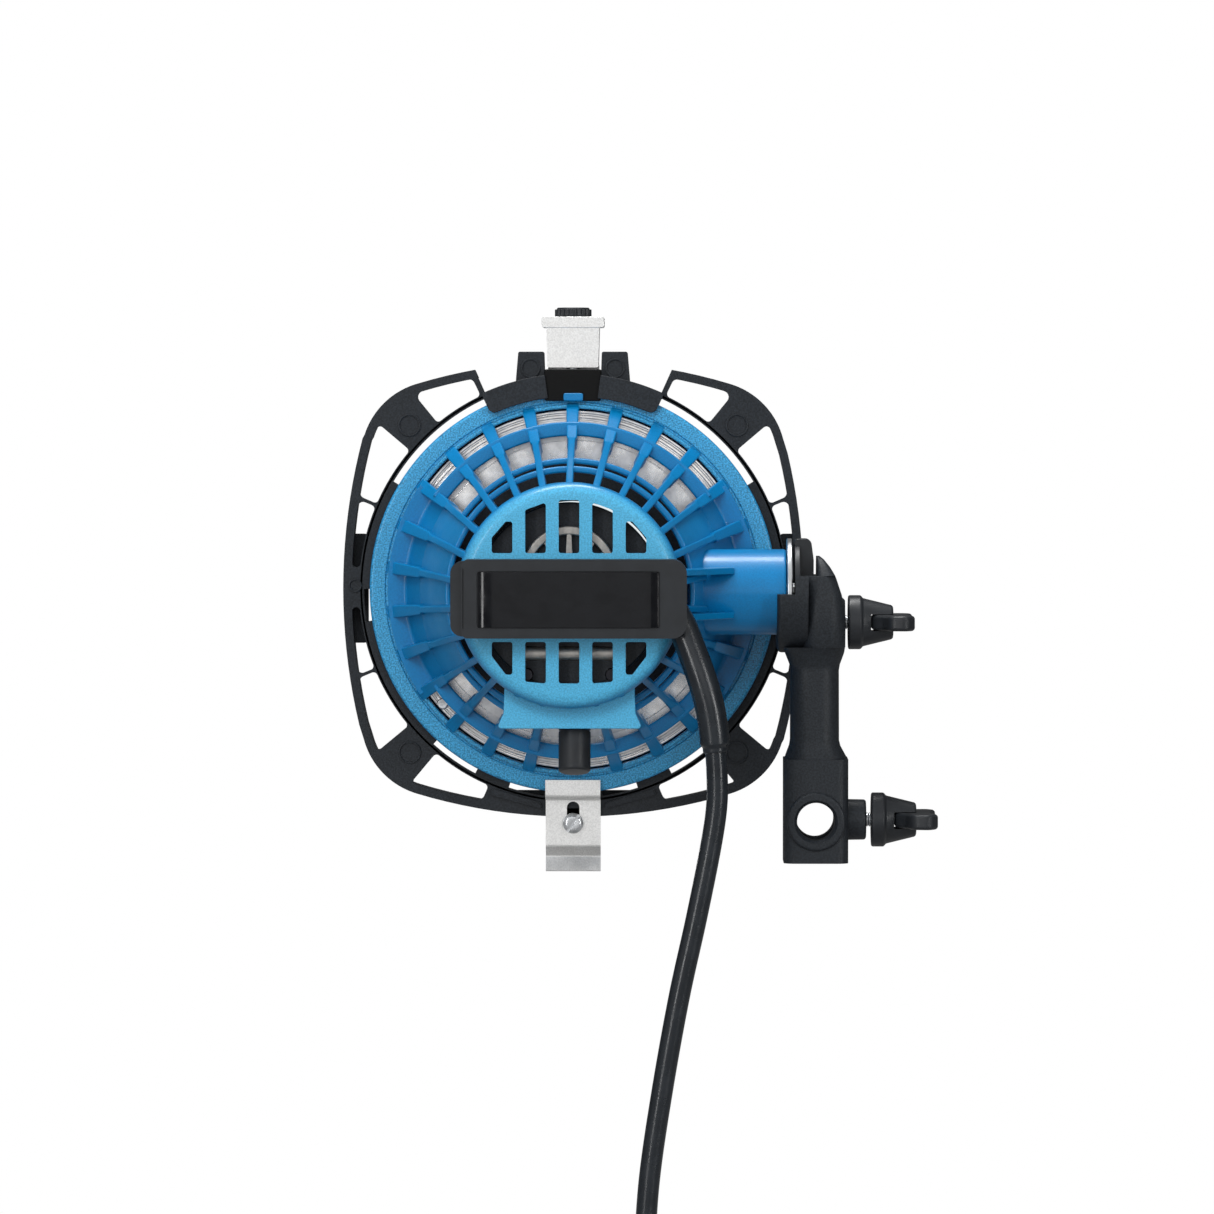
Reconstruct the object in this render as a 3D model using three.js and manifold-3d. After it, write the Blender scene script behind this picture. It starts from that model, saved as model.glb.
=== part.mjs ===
// Fresnel spotlight: a small lamp head with an 80 mm lens, tilting on one side arm for a 16 mm spigot.
// Millimetres, +Z up. The light leaves along +Y and the side arm stands on the +X side.
// The origin is the middle of the blind end of the arm's upright spigot socket.
import * as THREE from "three";
import { mergeVertices } from "three/addons/utils/BufferGeometryUtils.js";
import Module from "manifold-3d";

// ---- Driving dimensions -------------------------------------------------------------------------

// Lamp head, measured from the point where the tilt pivot crosses the optical axis.
const HEAD = { x: -105, z: 80 };
const CLEARANCE = 0.3;

// Rear housing, as radii from the optical axis and stations along it.
const HUB = { face: -62, front: -44, radius: 47.8, flat: 41.5, wall: 3.2 };
const RIBS = { count: 26, inner: 3, outer: 5, kinkRadius: 66, kinkY: 8 };
const RING = { radius: 88.7, inner: 78.8, rear: 36, front: 44.4 };
const LEDGE = { inner: 72.2, y: 31 };
const SKIN = 2.4;
const SLOT = { width: 8.7, pitch: 14.1, top: [18, 40.5], bottom: [-36.5, -19.3], reach: 40.6 };
const CLOSED_BAYS = [[145.4, 214.6], [-34.6, 34.6]];
const BOSS = { radius: 18.4, from: 57, to: 92.3 };

// Front frame: a plate with bulging sides, a deep rim and a thin inner ring.
const FRAME = { rear: 46, plate: 51, front: 60, rim: 3.7, ring: 91.7, ringWall: 2, seat: 86 };
const OUTLINE = { halfWidth: 100.7, sideRadius: 258, cornerRadius: 34, corner: 58.9, endRadius: 238 };
const TOP_GAP = 41.6;
const BROW = { inner: 84.1, outer: 94.2, rear: 32, lip: 35.6, from: 65.3, to: 114 };
const LENS = { radius: 40, rear: 49.4, edge: 4, crown: 6 };

// Side arm, in the arm's own frame: its spigot socket is at X = 0, Y = 0.
const SPIGOT_SOCKET = { radius: 8.1, depth: 36, crossZ: -18 };
const ARM = { halfDepth: 13, blockHalfDepth: 17, cupRadius: 26, cupLeft: -16.8, face: -5.4 };
const DISC = { radius: 23, x: -11.7, thickness: 2.2, boltHole: 4.6 };
const BOLT = { radius: 4, head: 6.4 };
const SHOE = { x: -9.2, thickness: 2.4, radius: 21.5 };
const TILT_SCREW = { z: 67, hub: 14 };
const LOCK_SCREW = { z: -18, hub: 24 };
const LOCK_TIP = { radius: 2.2, start: 8.2, end: 13.3 };
const SCREW = { radius: 3, hole: 3.3 };
const HANDLE = { radius: 11.65, collar: 5.7, length: 19.4, tip: 6.8, bar: 6.6, reach: 28.5, halfSpan: 21 };

// Rear cover bar, cable and focus control.
const COVER = { halfWidth: 49.6, bottom: -17.5, top: 15.6, depth: 13.6, wall: 2.4 };
const LABEL = { left: -38, right: 38, bottom: -12.9, top: 10.3, recess: 1.2 };
const CABLE = { radius: 4.5, boot: 6.3, startX: 49.5, y: -69 };
const KNOB = { x: 2, y: -37.4, z: -54.6, radius: 6.8, length: 21.5, tilt: 16 };
const CARRIAGE = { rear: -50.4, thickness: 2.4, radius: 37 };
const SINK = { outer: 20.5, inner: 16.6, core: 6.5, z: 9, spokes: 10 };
const GUIDES = { x: 18, z: -33.4, radius: 2.5 };

// Top latch and bottom clip.
const LATCH = { halfWidth: 11.6, bottom: 97.8, top: 116.4, rear: 38.5, front: 60.6, wall: 1.5, y: 48 };
const CLIP = { halfWidth: 12, rear: 44, wall: 1.5, top: -90.2, bottom: -118, lip: -124 };
const CLIP_HOOK = { rear: 33.6, top: -83 };
const CLIP_SCREW = { z: -102.4, head: 4.5, shank: 2.4 };

const wasm = await Module();
wasm.setup();

// ---- Solids -------------------------------------------------------------------------------------

// A closed three.js geometry as a solid with its faces pointing out.
function solidOf(geometry) {
  const bare = geometry.clone();
  bare.deleteAttribute("normal");
  bare.deleteAttribute("uv");
  const merged = mergeVertices(bare, 1e-4);
  const position = merged.attributes.position;
  const corners = merged.index.array;
  const triangles = [];
  let volume = 0;
  const [a, b, c] = [new THREE.Vector3(), new THREE.Vector3(), new THREE.Vector3()];
  for (let i = 0; i < corners.length; i += 3) {
    const [p, q, r] = [corners[i], corners[i + 1], corners[i + 2]];
    if (p === q || q === r || r === p) continue;
    triangles.push([p, q, r]);
    a.fromBufferAttribute(position, p);
    b.fromBufferAttribute(position, q);
    c.fromBufferAttribute(position, r);
    volume += a.dot(b.cross(c));
  }
  const outward = volume < 0 ? triangles.map(([p, q, r]) => [p, r, q]) : triangles;
  return new wasm.Manifold(
    new wasm.Mesh({
      numProp: 3,
      vertProperties: new Float32Array(position.array),
      triVerts: new Uint32Array(outward.flat()),
    }),
  );
}

function geometryOf(solid) {
  const mesh = solid.getMesh();
  const geometry = new THREE.BufferGeometry();
  geometry.setAttribute("position", new THREE.BufferAttribute(mesh.vertProperties, 3));
  geometry.setIndex(new THREE.BufferAttribute(mesh.triVerts, 1));
  geometry.computeVertexNormals();
  return geometry;
}

const join = (first, ...rest) => rest.reduce((whole, piece) => whole.add(piece), first);
const cut = (first, ...rest) => rest.reduce((whole, piece) => whole.subtract(piece), first);

// A block between two limits on each axis.
function block([x0, x1], [y0, y1], [z0, z1]) {
  const box = new THREE.BoxGeometry(x1 - x0, y1 - y0, z1 - z0);
  return solidOf(box.translate((x0 + x1) / 2, (y0 + y1) / 2, (z0 + z1) / 2));
}

// A lathe geometry from [radius, y] pairs that start and end on the axis or close on themselves.
function lathe(profile, segments) {
  const points = profile.map(([radius, y]) => new THREE.Vector2(radius, y));
  const onAxis = profile[0][0] === 0 && profile.at(-1)[0] === 0;
  if (!onAxis) points.push(points[0].clone());
  return new THREE.LatheGeometry(points, segments);
}

// Turned solids along the three axes, each placed at a point of the other two coordinates.
const turnedY = (profile, segments = 48, x = 0, z = 0) =>
  solidOf(lathe(profile, segments).translate(x, 0, z));
const turnedX = (profile, segments = 32, y = 0, z = 0) =>
  solidOf(lathe(profile, segments).rotateZ(-Math.PI / 2).translate(0, y, z));
const turnedZ = (profile, segments = 32, x = 0, y = 0) =>
  solidOf(lathe(profile, segments).rotateX(Math.PI / 2).translate(x, y, 0));

const rod = (radius, from, to) => [[0, from], [radius, from], [radius, to], [0, to]];
const tube = (outer, inner, from, to) => [[inner, from], [outer, from], [outer, to], [inner, to]];

function outlineOf(points) {
  return new THREE.Shape(points.map(([x, y]) => new THREE.Vector2(x, y)));
}

// A flat shape drawn in X and Z, given thickness from one Y station to another.
function plateXZ(shape, y0, y1, curveSegments = 8) {
  const geometry = new THREE.ExtrudeGeometry(shape, { depth: y1 - y0, bevelEnabled: false, curveSegments });
  return solidOf(geometry.rotateX(Math.PI / 2).translate(0, y1, 0));
}

// A flat shape drawn in Y and Z, given thickness from one X station to another.
function plateYZ(shape, x0, x1, curveSegments = 8) {
  const geometry = new THREE.ExtrudeGeometry(shape, { depth: x1 - x0, bevelEnabled: false, curveSegments });
  const turn = new THREE.Matrix4().makeBasis(
    new THREE.Vector3(0, 1, 0),
    new THREE.Vector3(0, 0, 1),
    new THREE.Vector3(1, 0, 0),
  );
  return solidOf(geometry.applyMatrix4(turn).translate(x0, 0, 0));
}

// A round bar that follows a smooth curve through the given points.
function barAlong(points, radius, steps, sides = 10) {
  const path = new THREE.CatmullRomCurve3(points.map((point) => new THREE.Vector3(...point)));
  const circle = outlineOf(
    Array.from({ length: sides }, (_, i) => {
      const angle = (i / sides) * 2 * Math.PI;
      return [radius * Math.cos(angle), radius * Math.sin(angle)];
    }),
  );
  return solidOf(new THREE.ExtrudeGeometry(circle, { steps, bevelEnabled: false, extrudePath: path }));
}

// The part of a disc between two angles in degrees, measured from +X towards +Z, through a Y span.
function sector([from, to], radius, [y0, y1]) {
  const [start, end] = [from, to].map(THREE.MathUtils.degToRad);
  const shape = new THREE.Shape();
  shape.moveTo(0, 0);
  shape.lineTo(radius * Math.cos(start), radius * Math.sin(start));
  shape.absarc(0, 0, radius, start, end, false);
  return plateXZ(shape, y0, y1, 10);
}

// ---- Scene --------------------------------------------------------------------------------------

const FINISH = {
  bluePaint: { color: 0x3f88b5, roughness: 0.45, metalness: 0.1 },
  blackPaint: { color: 0x3a3f44, roughness: 0.6, metalness: 0.1 },
  blackPlastic: { color: 0x26292c, roughness: 0.5, metalness: 0 },
  glossPlate: { color: 0x14171a, roughness: 0.12, metalness: 0 },
  silverSheet: { color: 0xc9cbcd, roughness: 0.35, metalness: 0.9 },
  steel: { color: 0xb4b7ba, roughness: 0.3, metalness: 1 },
  castAluminium: { color: 0x8d9194, roughness: 0.6, metalness: 0.8 },
  mirror: { color: 0xe6e8ea, roughness: 0.05, metalness: 1 },
  glass: { color: 0xdfeaf0, roughness: 0.05, metalness: 0, transparent: true, opacity: 0.35 },
  ceramic: { color: 0xe9e4d8, roughness: 0.7, metalness: 0 },
  rubber: { color: 0x17181a, roughness: 0.8, metalness: 0 },
  brass: { color: 0xb08d45, roughness: 0.35, metalness: 1 },
};

const lamp = new THREE.Group();
const head = new THREE.Group();
head.position.set(HEAD.x, 0, HEAD.z);
lamp.add(head);

function place(group, name, solid, finish) {
  const mesh = new THREE.Mesh(geometryOf(solid), new THREE.MeshStandardMaterial(FINISH[finish]));
  mesh.name = name;
  group.add(mesh);
  return mesh;
}

// ---- Rear housing -------------------------------------------------------------------------------

function hubShell() {
  const inner = HUB.radius - HUB.wall;
  return turnedY(
    [
      [0, HUB.face],
      [HUB.flat, HUB.face],
      [HUB.radius - 1.4, HUB.face + 2],
      [HUB.radius, HUB.face + 6],
      [HUB.radius, HUB.front],
      [inner, HUB.front],
      [inner, HUB.face + HUB.wall],
      [0, HUB.face + HUB.wall],
    ],
    39,
  );
}

// Five upright slots above the cover bar and five below, all clipped to the hub's flat face.
function hubSlots() {
  const depth = [HUB.face - 1, HUB.face + HUB.wall + 1];
  const slots = [];
  for (let i = -2; i <= 2; i += 1) {
    const middle = i * SLOT.pitch;
    const across = [middle - SLOT.width / 2, middle + SLOT.width / 2];
    slots.push(block(across, depth, SLOT.top), block(across, depth, SLOT.bottom));
  }
  return join(...slots).intersect(turnedY(rod(SLOT.reach, ...depth), 36));
}

// One rib in the plane of radius and Y: narrow from the hub to the kink, wider from there to the ring.
function ribAt(angle) {
  const { inner, outer, kinkRadius, kinkY } = RIBS;
  const slim = outlineOf([[46.4, -52], [49, -50], [kinkRadius, kinkY], [60, 12], [46.4, -36]]);
  const wide = outlineOf([[kinkRadius, kinkY], [80.5, 34], [82, 40], [76, 38], [60, 12]]);
  const parts = [[slim, inner], [wide, outer]].map(([shape, width]) => {
    const rib = new THREE.ExtrudeGeometry(shape, { depth: width, bevelEnabled: false });
    return solidOf(rib.translate(0, 0, -width / 2).rotateY(-THREE.MathUtils.degToRad(angle)));
  });
  return join(...parts);
}

// The bottom rib is left out, because the focus knob travels there.
function allRibs() {
  const pitch = 360 / RIBS.count;
  const angles = Array.from({ length: RIBS.count }, (_, i) => 90 + i * pitch);
  return join(...angles.filter((angle) => Math.abs(angle - 270) > 1).map(ribAt));
}

function housingRings() {
  const flange = turnedY(
    [
      [RING.inner, RING.rear - 2],
      [81, RING.rear - 2],
      [82, RING.rear],
      [RING.radius, RING.rear],
      [RING.radius, RING.front],
      [RING.inner, RING.front],
    ],
    52,
  );
  const middle = turnedY(tube(73.2, 67, 18, 24), 39);
  const rearOuter = turnedY(tube(57.6, 55.4, -20, -13), 26);
  const rearInner = turnedY(tube(54.2, 51.8, -32, -25), 26);
  const knobPath = sector([270 - 360 / RIBS.count, 270 + 360 / RIBS.count], 62, [-40, 10]);
  return join(flange, middle, rearOuter.subtract(knobPath), rearInner.subtract(knobPath));
}

// The smooth wall of the closed bays, with the ledge in front of the ring.
function closedWall() {
  const wall = turnedY(
    [
      [51.8, -34],
      [RIBS.kinkRadius, RIBS.kinkY + 8],
      [LEDGE.inner, LEDGE.y],
      [81, LEDGE.y],
      [81, LEDGE.y + SKIN],
      [LEDGE.inner - SKIN, LEDGE.y + SKIN],
      [RIBS.kinkRadius - SKIN, RIBS.kinkY + 10],
      [49.6, -34],
    ],
    36,
  );
  const span = [-40, 40];
  return wall.intersect(join(...CLOSED_BAYS.map((bays) => sector(bays, 130, span))));
}

function pivotBoss() {
  const bore = turnedX(rod(6.8, 76, BOSS.to + 1), 20);
  const shell = turnedX(rod(BOSS.radius, BOSS.from, BOSS.to), 36);
  return { shell, bore };
}

const DISC_SCREW_ANGLES = [90, 210, 330];
const DISC_SCREW_CIRCLE = 12.5;

// Bars along X on the brake disc's screw circle.
function discScrewBars(radius, from, to) {
  return DISC_SCREW_ANGLES.map((degrees) => {
    const angle = THREE.MathUtils.degToRad(degrees);
    const [y, z] = [DISC_SCREW_CIRCLE * Math.cos(angle), DISC_SCREW_CIRCLE * Math.sin(angle)];
    return turnedX(rod(radius, from, to), 10, y, z);
  });
}

function rearHousing() {
  const boss = pivotBoss();
  const shelf = block([KNOB.x - 27, KNOB.x + 27], [-58, -45], [-55.3, -45]);
  const outside = turnedY(rod(HUB.radius - HUB.wall, HUB.face + HUB.wall, 0), 52);
  const stub = block([-2.5, 2.5], [30, RING.rear + 4], [-82, -76]);
  const body = join(hubShell(), allRibs(), housingRings(), closedWall(), boss.shell);
  const whole = join(body, shelf.subtract(outside), stub);
  return cut(whole, hubSlots(), boss.bore, ...discScrewBars(1.9, 80, 96));
}

place(head, "rear_housing", rearHousing(), "bluePaint");

// ---- Pivot and brake on the head ----------------------------------------------------------------

// X stations on the head are counted from the optical axis.
const toHeadX = (x) => x - HEAD.x;

function brakeDisc() {
  const from = toHeadX(DISC.x) - DISC.thickness / 2 + 0.4;
  const ring = turnedX(tube(DISC.radius, DISC.boltHole, from, from + DISC.thickness), 40);
  return cut(ring, ...discScrewBars(1.9, 80, 97));
}

place(head, "brake_disc", brakeDisc(), "steel");
const screwEnd = toHeadX(DISC.x) + DISC.thickness / 2 + 0.2;
discScrewBars(1.55, 82, screwEnd).forEach((screw, i) => {
  place(head, `brake_disc_screw_${i + 1}`, screw, "steel");
});
place(head, "pivot_bush", turnedX(tube(6.5, 4.1, 78, BOSS.to - 0.2), 20), "brass");

// ---- Rear cover bar -----------------------------------------------------------------------------

function roundedRectangle(x0, x1, z0, z1, radius) {
  const shape = new THREE.Shape();
  shape.moveTo(x0 + radius, z0);
  shape.lineTo(x1 - radius, z0);
  shape.absarc(x1 - radius, z0 + radius, radius, -Math.PI / 2, 0, false);
  shape.absarc(x1 - radius, z1 - radius, radius, 0, Math.PI / 2, false);
  shape.absarc(x0 + radius, z1 - radius, radius, Math.PI / 2, Math.PI, false);
  shape.absarc(x0 + radius, z0 + radius, radius, Math.PI, 1.5 * Math.PI, false);
  return shape;
}

function terminalCover() {
  const base = HUB.face - CLEARANCE;
  const face = base - COVER.depth;
  const { halfWidth, bottom, top, wall } = COVER;
  const body = plateXZ(roundedRectangle(-halfWidth, halfWidth, bottom, top, 5), face, base, 4);
  const hollow = plateXZ(
    roundedRectangle(-halfWidth + wall, halfWidth - wall, bottom + wall, top - wall, 3),
    face + LABEL.recess + wall,
    base + 1,
    3,
  );
  const recess = plateXZ(
    roundedRectangle(LABEL.left - 0.4, LABEL.right + 0.4, LABEL.bottom - 0.4, LABEL.top + 0.4, 1.4),
    face - 1,
    face + LABEL.recess,
    2,
  );
  return cut(body, hollow, recess);
}

function coverPlate() {
  const floor = HUB.face - CLEARANCE - COVER.depth + LABEL.recess - CLEARANCE;
  const { left, right, bottom, top } = LABEL;
  return plateXZ(roundedRectangle(left, right, bottom, top, 1.2), floor - 1.3, floor, 3);
}

place(head, "terminal_cover", terminalCover(), "blackPlastic");
place(head, "cover_plate", coverPlate(), "glossPlate");

const terminals = block([-16, 16], [HUB.face - 9.6, HUB.face - CLEARANCE], [-9, 7]);
place(head, "terminal_block", terminals, "ceramic");

// ---- Cable --------------------------------------------------------------------------------------

const BOOT_END = [61.6, -67.4, -64.5];
const CABLE_END_Z = -292;

function cableBoot() {
  const { startX, y, boot } = CABLE;
  const start = COVER.bottom - CLEARANCE;
  const path = [[startX, y, start], [startX + 0.6, y, start - 4], [56.4, y + 0.4, -42], BOOT_END];
  return barAlong(path, boot, 6, 12);
}

function cable() {
  const path = [
    [61.9, -67.3, -65.6],
    [62.6, -66.5, -84],
    [59.6, -66, -106],
    [46.4, -65, -169],
    [34, -64, -245],
    [32, -64, -275],
    [32, -64, CABLE_END_Z],
  ];
  return barAlong(path, CABLE.radius, 20, 8);
}

function cableConnector() {
  const top = CABLE_END_Z - CLEARANCE;
  const bottom = top - 55;
  const profile = [
    [0, top],
    [6.5, top],
    [8, top - 12],
    [11, top - 16],
    [11, bottom + 3],
    [9.5, bottom],
    [0, bottom],
  ];
  return turnedZ(profile, 20, 32, -64);
}

place(head, "cable_boot", cableBoot(), "rubber");
place(head, "cable", cable(), "rubber");
place(head, "cable_connector", cableConnector(), "blackPlastic");

// ---- Front frame --------------------------------------------------------------------------------

// The frame's outline, drawn inwards by an inset: four flat arcs joined by four corner arcs.
function frameOutline(inset) {
  const { halfWidth, sideRadius, cornerRadius, corner, endRadius } = OUTLINE;
  const side = { x: sideRadius - halfWidth, radius: sideRadius - inset };
  const end = { z: endRadius - halfWidth + 0.9, radius: endRadius - inset };
  const tilt = Math.atan2(corner, corner + side.x);
  const lean = Math.atan2(corner, corner + end.z);
  const shape = new THREE.Shape();
  const half = Math.PI / 2;
  const arc = (x, z, radius, from, to) => shape.absarc(x, z, radius, from, to, false);
  arc(-side.x, 0, side.radius, -tilt, tilt);
  arc(corner, corner, cornerRadius - inset, tilt, half - lean);
  arc(0, -end.z, end.radius, half - lean, half + lean);
  arc(-corner, corner, cornerRadius - inset, half + lean, Math.PI - tilt);
  arc(side.x, 0, side.radius, Math.PI - tilt, Math.PI + tilt);
  arc(-corner, -corner, cornerRadius - inset, Math.PI + tilt, 3 * half - lean);
  arc(0, end.z, end.radius, 3 * half - lean, 3 * half + lean);
  arc(corner, -corner, cornerRadius - inset, 3 * half + lean, 2 * Math.PI - tilt);
  return shape;
}

// Angles, on the right half, of the solid webs between the windows; the left half mirrors them.
const WEBS = [
  [40.3, 50.7],
  [22.6, 23.4],
  [-4.8, 5.7],
  [-22.6, -21.8],
  [-50.1, -39.7],
  [-90.5, -66.7],
];
// Angles, on the right half, where daylight shows between the ring and the frame.
const DAYLIGHT = [[30.8, 65.3], [-9, 0], [-62, -48], [-82, -72]];
const mirrored = ([from, to]) => [180 - to, 180 - from];
const bothSides = (spans) => spans.flatMap((span) => [span, mirrored(span)]);

function frameWindows() {
  const span = [FRAME.rear - 1, FRAME.plate + 1];
  const inside = plateXZ(frameOutline(FRAME.rim), ...span, 6);
  const disc = turnedY(rod(FRAME.ring + FRAME.ringWall, span[0] - 1, span[1] + 1), 60);
  return cut(inside, disc, ...bothSides(WEBS).map((web) => sector(web, 150, span)));
}

function daylightGaps() {
  const span = [FRAME.rear - 1, FRAME.plate + 1];
  const gap = turnedY(tube(FRAME.ring, FRAME.seat, ...span), 60);
  return gap.intersect(join(...bothSides(DAYLIGHT).map((angles) => sector(angles, 150, span))));
}

function accessoryLips() {
  const y = [FRAME.front - 2.4, FRAME.front];
  const side = OUTLINE.halfWidth - 1.4;
  const reach = 9;
  const lips = [-1, 1].map((hand) => {
    const across = [hand * side, hand * (side - reach)].sort((a, b) => a - b);
    return block(across, y, [-24, 24]);
  });
  return join(...lips, block([-30, 30], y, [-97.6, -97.6 + reach]));
}

// The black brow hooks over the blue ring's top edge and carries the two latch ears.
function brow() {
  const { inner, outer, rear, lip, from, to } = BROW;
  const profile = [
    [inner, rear],
    [outer, rear],
    [outer, FRAME.rear + 1],
    [RING.radius + 0.8, FRAME.rear + 1],
    [RING.radius + 0.8, lip],
    [inner, lip],
  ];
  const arc = turnedY(profile, 60).intersect(sector([from, to], 130, [rear - 1, FRAME.plate]));
  const ears = [-1, 1].map((hand) => {
    const across = [hand * 12, hand * 25.4].sort((a, b) => a - b);
    return block(across, [38, FRAME.plate], [92, 103.7]);
  });
  const bridge = block([-12.4, 12.4], [44.8, FRAME.plate + 2], [90, 96.6]);
  return join(arc, bridge, ...ears);
}

// Oblique links that close the rim's two upper ends down to the inner ring.
function topLinks() {
  const link = outlineOf([[37.2, 83], [39.8, 83], [45, 93], [45, 98], [41.6, 96.7]]);
  const flipped = outlineOf([[-37.2, 83], [-39.8, 83], [-45, 93], [-45, 98], [-41.6, 96.7]]);
  const inside = plateXZ(frameOutline(FRAME.rim / 2), FRAME.rear + 1, FRAME.front, 6);
  const links = [link, flipped].map((shape) => plateXZ(shape, FRAME.rear, FRAME.front - 2));
  return join(...links.map((solid) => solid.intersect(inside)));
}

function lensBarrel() {
  const inner = LENS.radius + 0.5;
  return turnedY(tube(inner + 2.6, inner, FRAME.rear + 2, FRAME.front - 1), 40);
}

function frontFrame() {
  const { rear, plate: plateFront, front, rim: rimWidth } = FRAME;
  const body = plateXZ(frameOutline(0), rear, plateFront, 6);
  const rimBody = plateXZ(frameOutline(0), rear, front, 6);
  const rim = rimBody.subtract(plateXZ(frameOutline(rimWidth), rear - 1, front + 1, 6));
  const seatHollow = turnedY(rod(FRAME.seat - 1, rear + 3, plateFront + 1), 44);
  const opening = turnedY(rod(LENS.radius - 1.5, rear - 1, plateFront + 1), 40);
  const inner = turnedY(rod(FRAME.ring + FRAME.ringWall, rear - 2, front + 2), 60);
  const topGap = block([-TOP_GAP, TOP_GAP], [rear - 1, front + 1], [80, 110]).subtract(inner);
  const plate = cut(join(body, rim), frameWindows(), seatHollow, opening, topGap, daylightGaps());
  const pinHole = turnedZ(rod(3.3, 87, 99), 16, 0, LATCH.y);
  const clipLug = block([-9.5, 9.5], [rear, plateFront], [CLIP_SCREW.z - 6, -97]);
  const holeRadius = CLIP_SCREW.shank + CLEARANCE;
  const clipHole = turnedY(rod(holeRadius, rear - 1, front + 1), 16, 0, CLIP_SCREW.z);
  const whole = join(plate, topLinks(), accessoryLips(), brow(), lensBarrel(), clipLug);
  return cut(whole, pinHole, clipHole);
}

place(head, "front_frame", frontFrame(), "blackPaint");

// ---- Lens and heat shield -----------------------------------------------------------------------

// A flat rear face and a front of four stepped zones that each rise towards the middle.
function fresnelLens() {
  const { radius, rear, edge, crown } = LENS;
  const zones = 4;
  const profile = [[0, rear], [radius, rear], [radius, rear + edge]];
  for (let i = zones; i > 0; i -= 1) {
    const [outer, inner] = [(radius - 2) * (i / zones), (radius - 2) * ((i - 1) / zones)];
    const rise = i === 1 ? crown * 0.45 : crown * 0.3;
    profile.push([outer, rear + edge], [inner + (i > 1 ? 0.2 : 0), rear + edge + rise]);
  }
  return turnedY(profile, 36);
}

place(head, "lens", fresnelLens(), "glass");
place(
  head,
  "lens_ring",
  turnedY(tube(LENS.radius + 0.2, LENS.radius - 1.4, LENS.rear + 4.4, LENS.rear + 6.2), 36),
  "blackPaint",
);

const SHIELD_SCREW = { x: 57, z: -50, hole: 1.7 };

function heatShield() {
  const sheet = turnedY(tube(78.2, LENS.radius + 1, RING.rear + 5, RING.rear + 6.2), 39);
  const holes = [-1, 1].map((hand) =>
    turnedY(rod(SHIELD_SCREW.hole, RING.rear, RING.front), 10, hand * SHIELD_SCREW.x, SHIELD_SCREW.z));
  return cut(sheet, ...holes);
}

function shieldScrew(hand) {
  const profile = [
    [0, RING.rear + 2.6],
    [2.6, RING.rear + 2.6],
    [2.6, RING.rear + 4.7],
    [1.4, RING.rear + 4.7],
    [1.4, RING.front + 1],
    [0, RING.front + 1],
  ];
  return turnedY(profile, 12, hand * SHIELD_SCREW.x, SHIELD_SCREW.z);
}

place(head, "heat_shield", heatShield(), "silverSheet");
place(head, "shield_screw_left", shieldScrew(-1), "steel");
place(head, "shield_screw_right", shieldScrew(1), "steel");

// ---- Focus carriage -----------------------------------------------------------------------------

function guideRod(hand) {
  const [start, end] = [HUB.face + HUB.wall + CLEARANCE, FRAME.rear - CLEARANCE];
  return turnedY(rod(GUIDES.radius, start, end), 14, hand * GUIDES.x, GUIDES.z);
}

function lampCarriage() {
  const { rear, thickness, radius } = CARRIAGE;
  const disc = turnedY(rod(radius, rear, rear + thickness), 40);
  const bracket = block([-21.9, 21.9], [rear, rear + 16], [-37.8, -28]);
  const holes = [-1, 1].map((hand) =>
    turnedY(rod(GUIDES.radius + 0.4, rear - 1, rear + 17), 14, hand * GUIDES.x, GUIDES.z));
  const stemHole = turnedZ(rod(2.6, -45, -36), 12, KNOB.x, KNOB.y);
  const clamp = turnedX(rod(3.3, -24, 24), 16, rear - 3, -24.5);
  return cut(join(disc, bracket, clamp), ...holes, stemHole);
}

// A cast ring on spokes behind the carriage, which carries the socket's heat away.
function socketHeatSink() {
  const span = [HUB.face + HUB.wall + 1.2, CARRIAGE.rear - CLEARANCE];
  const { outer, inner, core, z, spokes } = SINK;
  const rim = turnedY(tube(outer, inner, ...span), 28, 0, z);
  const middle = turnedY(rod(core, ...span), 16, 0, z);
  const arms = Array.from({ length: spokes / 2 }, (_, i) => {
    const arm = new THREE.BoxGeometry(outer + inner - 2, span[1] - span[0], 2.6);
    arm.rotateY((2 * Math.PI * i) / spokes + Math.PI / 2);
    return solidOf(arm.translate(0, (span[0] + span[1]) / 2, z));
  });
  return join(rim, middle, ...arms);
}

// Height span of the lamp socket, which stands on the carriage bracket.
const SOCKET_SPAN = [-27.7, -15];

// A shallow dish with a notch for the socket.
function reflector() {
  const seat = CARRIAGE.rear + CARRIAGE.thickness + CLEARANCE;
  const profile = [
    [9, seat],
    [16, seat + 1.8],
    [23, seat + 5.6],
    [29, seat + 12],
    [28, seat + 12.4],
    [22, seat + 6.6],
    [15.5, seat + 3],
    [9, seat + 1.2],
  ];
  const notch = block([-7.6, 7.6], [seat + 2, seat + 16], [-31, SOCKET_SPAN[1] + 0.6]);
  return turnedY(profile, 32).subtract(notch);
}

function lampSocket() {
  const seat = CARRIAGE.rear + CARRIAGE.thickness + CLEARANCE;
  return block([-7, 7], [seat + 7.5, seat + 21], SOCKET_SPAN);
}

function halogenLamp() {
  const y = CARRIAGE.rear + CARRIAGE.thickness + 14.4;
  const [seal, tip] = [-14.6, 13.8];
  const base = [[0, seal], [5, seal], [5.6, -12], [6.2, -7]];
  const dome = [[6.2, 6], [4.2, 11], [1.2, tip - 0.4], [0, tip]];
  return turnedZ([...base, ...dome], 16, 0, y);
}

function focusStem() {
  return turnedZ(rod(2.3, KNOB.z - 3, -36.4), 12, KNOB.x, KNOB.y);
}

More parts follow.
